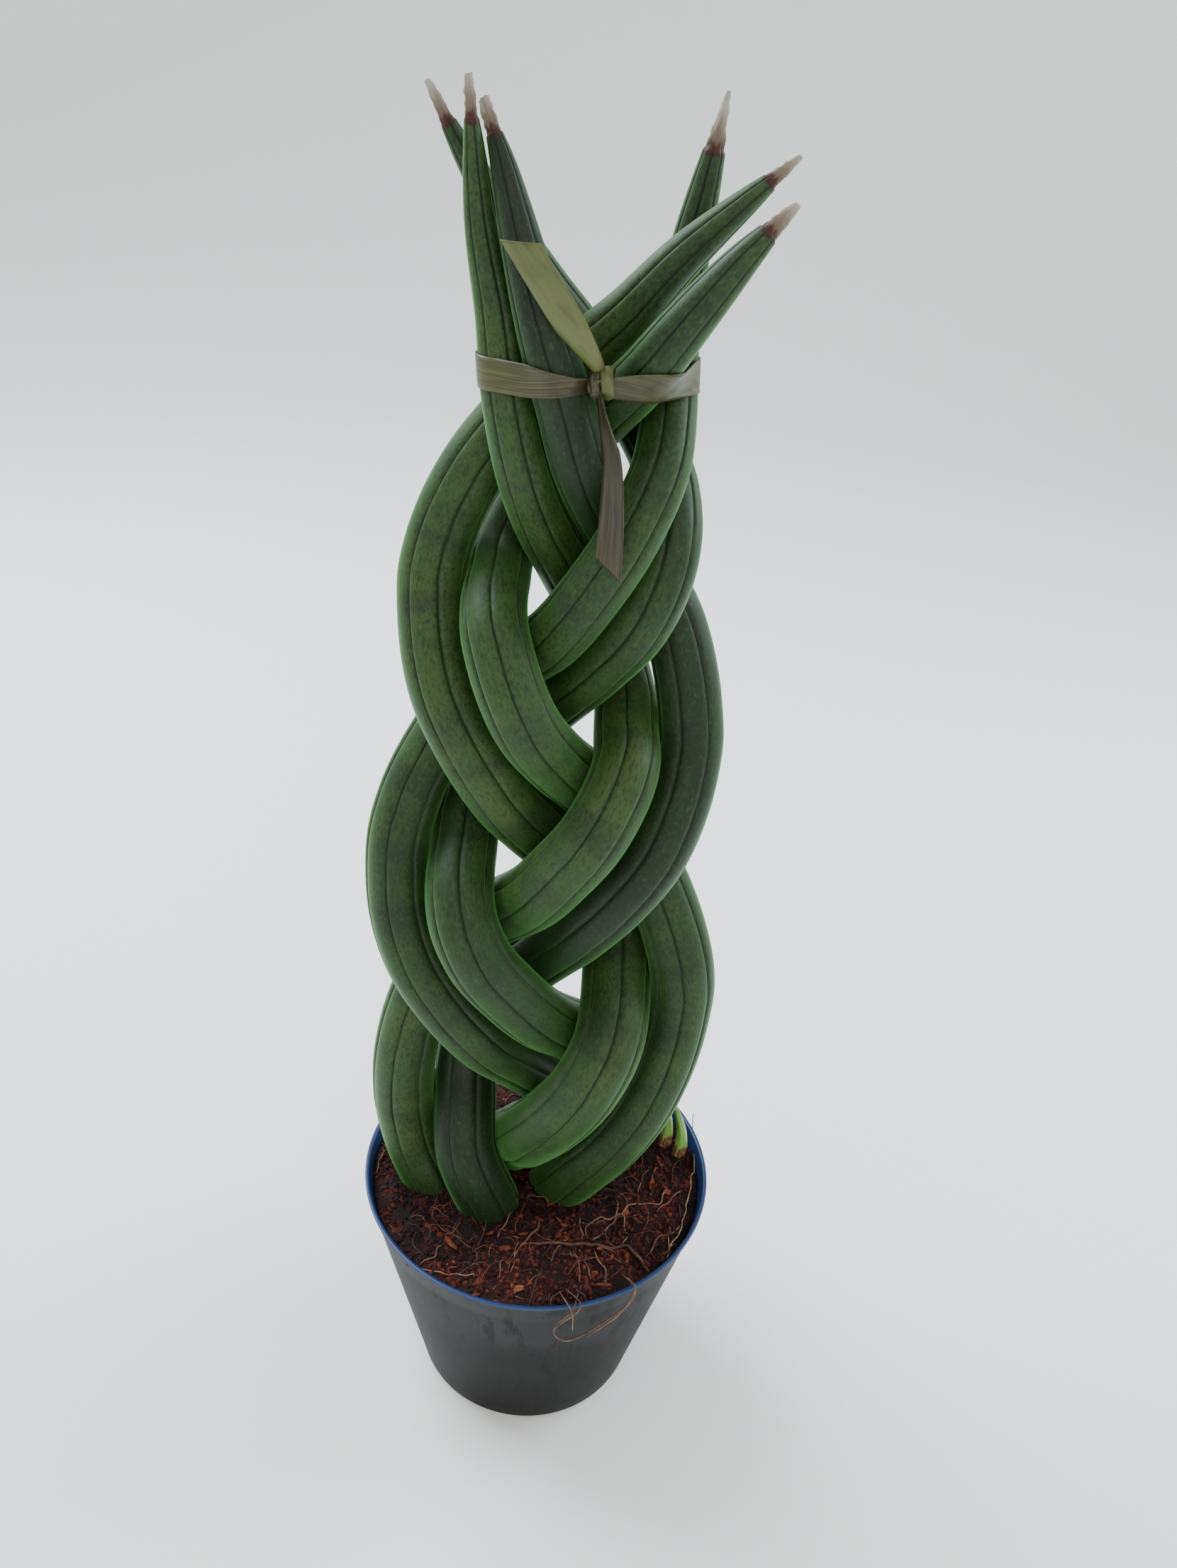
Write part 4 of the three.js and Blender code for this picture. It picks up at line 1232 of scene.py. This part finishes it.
# Roots
# Old coir has many loose fibres and some woody roots. They lie on the soil in loops, and a few hang
# over the rim. The thick one in front forks, and fine ones stick up all round.
ROOT_LIFT = 0.7
ROOT_SIDES = 6
ROOT_THINNING = 0.7
ROOT_WANDER = 1.4
ROOT_RISE = 1.2
ROOT_DIP = 1.6
# Each root: its thickness, its tone from dark to pale, and its way over the soil.
ROOTS = [
    (0.75, 0.45, [(40, -40), (36, -35), (32, -31), (24, -32), (16, -31), (9, -32), (-3, -32)]),
    (0.45, 0.5, [(14, -32), (16, -40), (16, -46)]),
    (0.4, 0.55, [(16, -32), (19, -41), (20, -44)]),
    (0.4, 0.6, [(20, -32), (23, -37), (25, -42), (25, -47)]),
    (0.4, 0.5, [(15, -18), (16, -25), (16, -30)]),
    (0.35, 0.7, [(17, -28), (18, -24), (22, -21), (27, -19), (30, -19), (31, -23), (31, -27),
                 (29, -31)]),
    (0.4, 0.65, [(19, -30), (23, -26), (27, -21), (28, -18), (28, -14), (27, -9)]),
    (0.35, 0.75, [(27, -20), (30, -18), (33, -14), (38, -13), (43, -11), (45, -7), (47, -2)]),
    (0.35, 0.6, [(42, -16), (48, -9), (52, -4)]),
    (0.4, 0.6, [(4, -21), (0, -28), (-4, -36), (-6, -39)]),
    (0.35, 0.55, [(-4, -13), (-4, -19), (-6, -28)]),
    (0.35, 0.65, [(-7, -19), (-12, -31)]),
    (0.35, 0.6, [(-5, -31), (-5, -36), (-6, -44)]),
    (0.3, 0.7, [(-4, -13), (1, -13), (6, -16)]),
    (0.4, 0.5, [(11, -32), (8, -36), (7, -39)]),
    (0.5, 0.1, [(4, -42), (2, -48), (1, -54)]),
    (0.35, 0.9, [(58, 35), (57, 20), (56, 7), (54, -6), (52, -14), (50, -22), (46, -30), (42, -37)]),
    (0.35, 0.65, [(52, -18), (43, -26), (37, -34)]),
    (0.3, 0.6, [(49, -27), (41, -35)]),
    (0.3, 0.7, [(46, -19), (46, -30)]),
    (0.3, 0.6, [(41, 5), (38, -1), (36, -7)]),
    (0.3, 0.65, [(43, 5), (39, -5)]),
    (0.35, 0.55, [(-55, 10), (-55, 2), (-56, -7)]),
    (0.35, 0.75, [(-41, -42), (-33, -45), (-24, -45), (-15, -46)]),
    (0.35, 0.6, [(-28, -34), (-32, -41), (-36, -44)]),
]
# Roots that hang over the rim, with their heights.
HANGING_ROOTS = [
    (0.35, 0.6, [(12, -50, 85), (17, -58.5, 88), (9, -60, 78), (14, -57, 69), (25, -51, 71),
                 (34, -50, 84), (32, -45, 86)]),
    (0.3, 0.7, [(10, -52, 86), (14, -60, 87.5), (15, -59, 77)]),
    (0.3, 0.55, [(16, -52, 86), (14, -60.5, 88), (9, -60, 80)]),
    (0.35, 0.7, [(30, -44, 86), (34, -50.5, 88), (30, -53, 79), (25, -53, 72), (20, -55, 69)]),
]
FINE_FIBRES = 190
FIBRE_SEED = 21
FIBRE_STEPS = 6
FIBRE_FIELD = 55
FIBRE_EDGE = 57
FIBRE_LENGTHS = (5, 17)
FIBRE_BEND = 0.35
FIBRE_WOBBLE = 0.25
FIBRE_LIFT = 0.3
FIBRE_ARCH = 1.2
FIBRE_STAND = 1.1
FIBRE_RADII = (0.09, 0.17)
FIBRE_TONES = (0.3, 0.75)


def fibre_tree():
    """Gives each string of points a round section of its own thickness."""
    tree, given = new_tree("root_fibres", [("Sides", "Int"), ("Material", "Material")])
    thick = stored(tree, "reach")
    path = add_node(tree, "GeometryNodeMeshToCurve", {"Mesh": given["Geometry"]})
    section = add_node(tree, "GeometryNodeCurvePrimitiveCircle", {
        "Resolution": given["Sides"], "Radius": 1.0,
    })
    swept = add_node(tree, "GeometryNodeCurveToMesh", {
        "Curve": path, "Profile Curve": section, "Scale": thick, "Fill Caps": True,
    })
    return close_tree(tree, swept, given["Material"])


def dry_fibre():
    """Dry root and husk fibre: woody, with no shine, from dark brown to pale straw."""
    material, tree = new_material("dry_root_fibre")
    place = add_node(tree, "ShaderNodeTexCoord", give="Object")
    tone = attribute(tree, "tone")
    mottle = noise_texture(tree, place, 1 / (2.5 * MM), 3.0)
    swing = map_range(tree, mottle, 0.25, 0.75, -0.22, 0.22)
    level = maths(tree, "ADD", tone, swing)
    colour = ramp(tree, level, [
        (0.0, "#120a07"), (0.3, "#341d14"), (0.55, "#593826"), (0.8, "#7d5d43"), (1.0, "#a48c6e"),
    ])
    return surface(material, {"Base Color": colour, "Roughness": 0.75})


def strings_mesh(name, strings):
    """Many strings of points in millimetres in one mesh, each with its thickness and tone."""
    points, edges, reach, tones = [], [], [], []
    for thick, tone, string in strings:
        first = len(points)
        points += [tuple(point) for point in np.asarray(string) * MM]
        edges += [(first + i, first + i + 1) for i in range(len(string) - 1)]
        ends = np.minimum(1, 0.35 + 1.3 * np.sin(np.linspace(0.15, math.pi - 0.15, len(string))))
        reach += list(thick * ROOT_THINNING * ends * MM)
        tones += [tone] * len(string)
    mesh = bpy.data.meshes.new(name)
    mesh.from_pydata(points, edges, [])
    keep_values(mesh, {"reach": reach, "tone": tones})
    return mesh


def lie_on_soil(way):
    """A root's way with its heights: it lies on the soil, ends in it, and wanders a little."""
    flat = [(x, y, 0) for x, y in way]
    line = even_path(flat, max(8, 5 * len(way)))
    rest = np.linspace(0, math.pi, len(line))
    for i, point in enumerate(line):
        x, y = point[:2]
        shift = [noise.noise(Vector((x, y, layer)) / 4) * ROOT_WANDER for layer in (6, 60)]
        rise = max(noise.noise(Vector((x, y, 3)) / 5) * ROOT_RISE, -0.4)
        dip = ROOT_DIP * (1 - math.sin(rest[i])) ** 3
        point[:2] += shift
        point[2] = soil_level(x, y) + ROOT_LIFT + rise - dip
    return line


def fine_fibres():
    """Short fine husk fibres all over the soil, most of them lying and some standing up."""
    draw = np.random.default_rng(FIBRE_SEED)
    strings = []
    for _ in range(FINE_FIBRES):
        far = FIBRE_FIELD * math.sqrt(draw.uniform(0.04, 1))
        turn = draw.uniform(0, 2 * math.pi)
        heading = draw.uniform(0, 2 * math.pi)
        stand = draw.uniform(0, 1) ** 4
        length = draw.uniform(*FIBRE_LENGTHS)
        bend = draw.uniform(-FIBRE_BEND, FIBRE_BEND)
        x, y = far * math.cos(turn), far * math.sin(turn)
        string = []
        for step in range(FIBRE_STEPS + 1):
            if math.hypot(x, y) > FIBRE_EDGE:
                break
            arch = math.sin(step / FIBRE_STEPS * math.pi) * draw.uniform(0.2, 1)
            up = FIBRE_LIFT + FIBRE_ARCH * arch + stand * step * FIBRE_STAND
            string.append((x, y, soil_level(x, y) + up))
            x += math.cos(heading) * length / FIBRE_STEPS
            y += math.sin(heading) * length / FIBRE_STEPS
            heading += bend + draw.uniform(-FIBRE_WOBBLE, FIBRE_WOBBLE)
        if len(string) > 3:
            strings.append((draw.uniform(*FIBRE_RADII), draw.uniform(*FIBRE_TONES), string))
    return strings


DRY_FIBRE = dry_fibre()
FIBRES = fibre_tree()
woody = [(thick, tone, lie_on_soil(way)) for thick, tone, way in ROOTS]
woody += [(thick, tone, even_path(way, 6 * len(way))) for thick, tone, way in HANGING_ROOTS]
for name, strings, sides in (("woody_roots", woody, ROOT_SIDES), ("husk_fibres", fine_fibres(), 4)):
    roots = link_object(name, strings_mesh(name, strings))
    grow(roots, FIBRES, {"Sides": sides, "Material": DRY_FIBRE})
    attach(roots, "root")
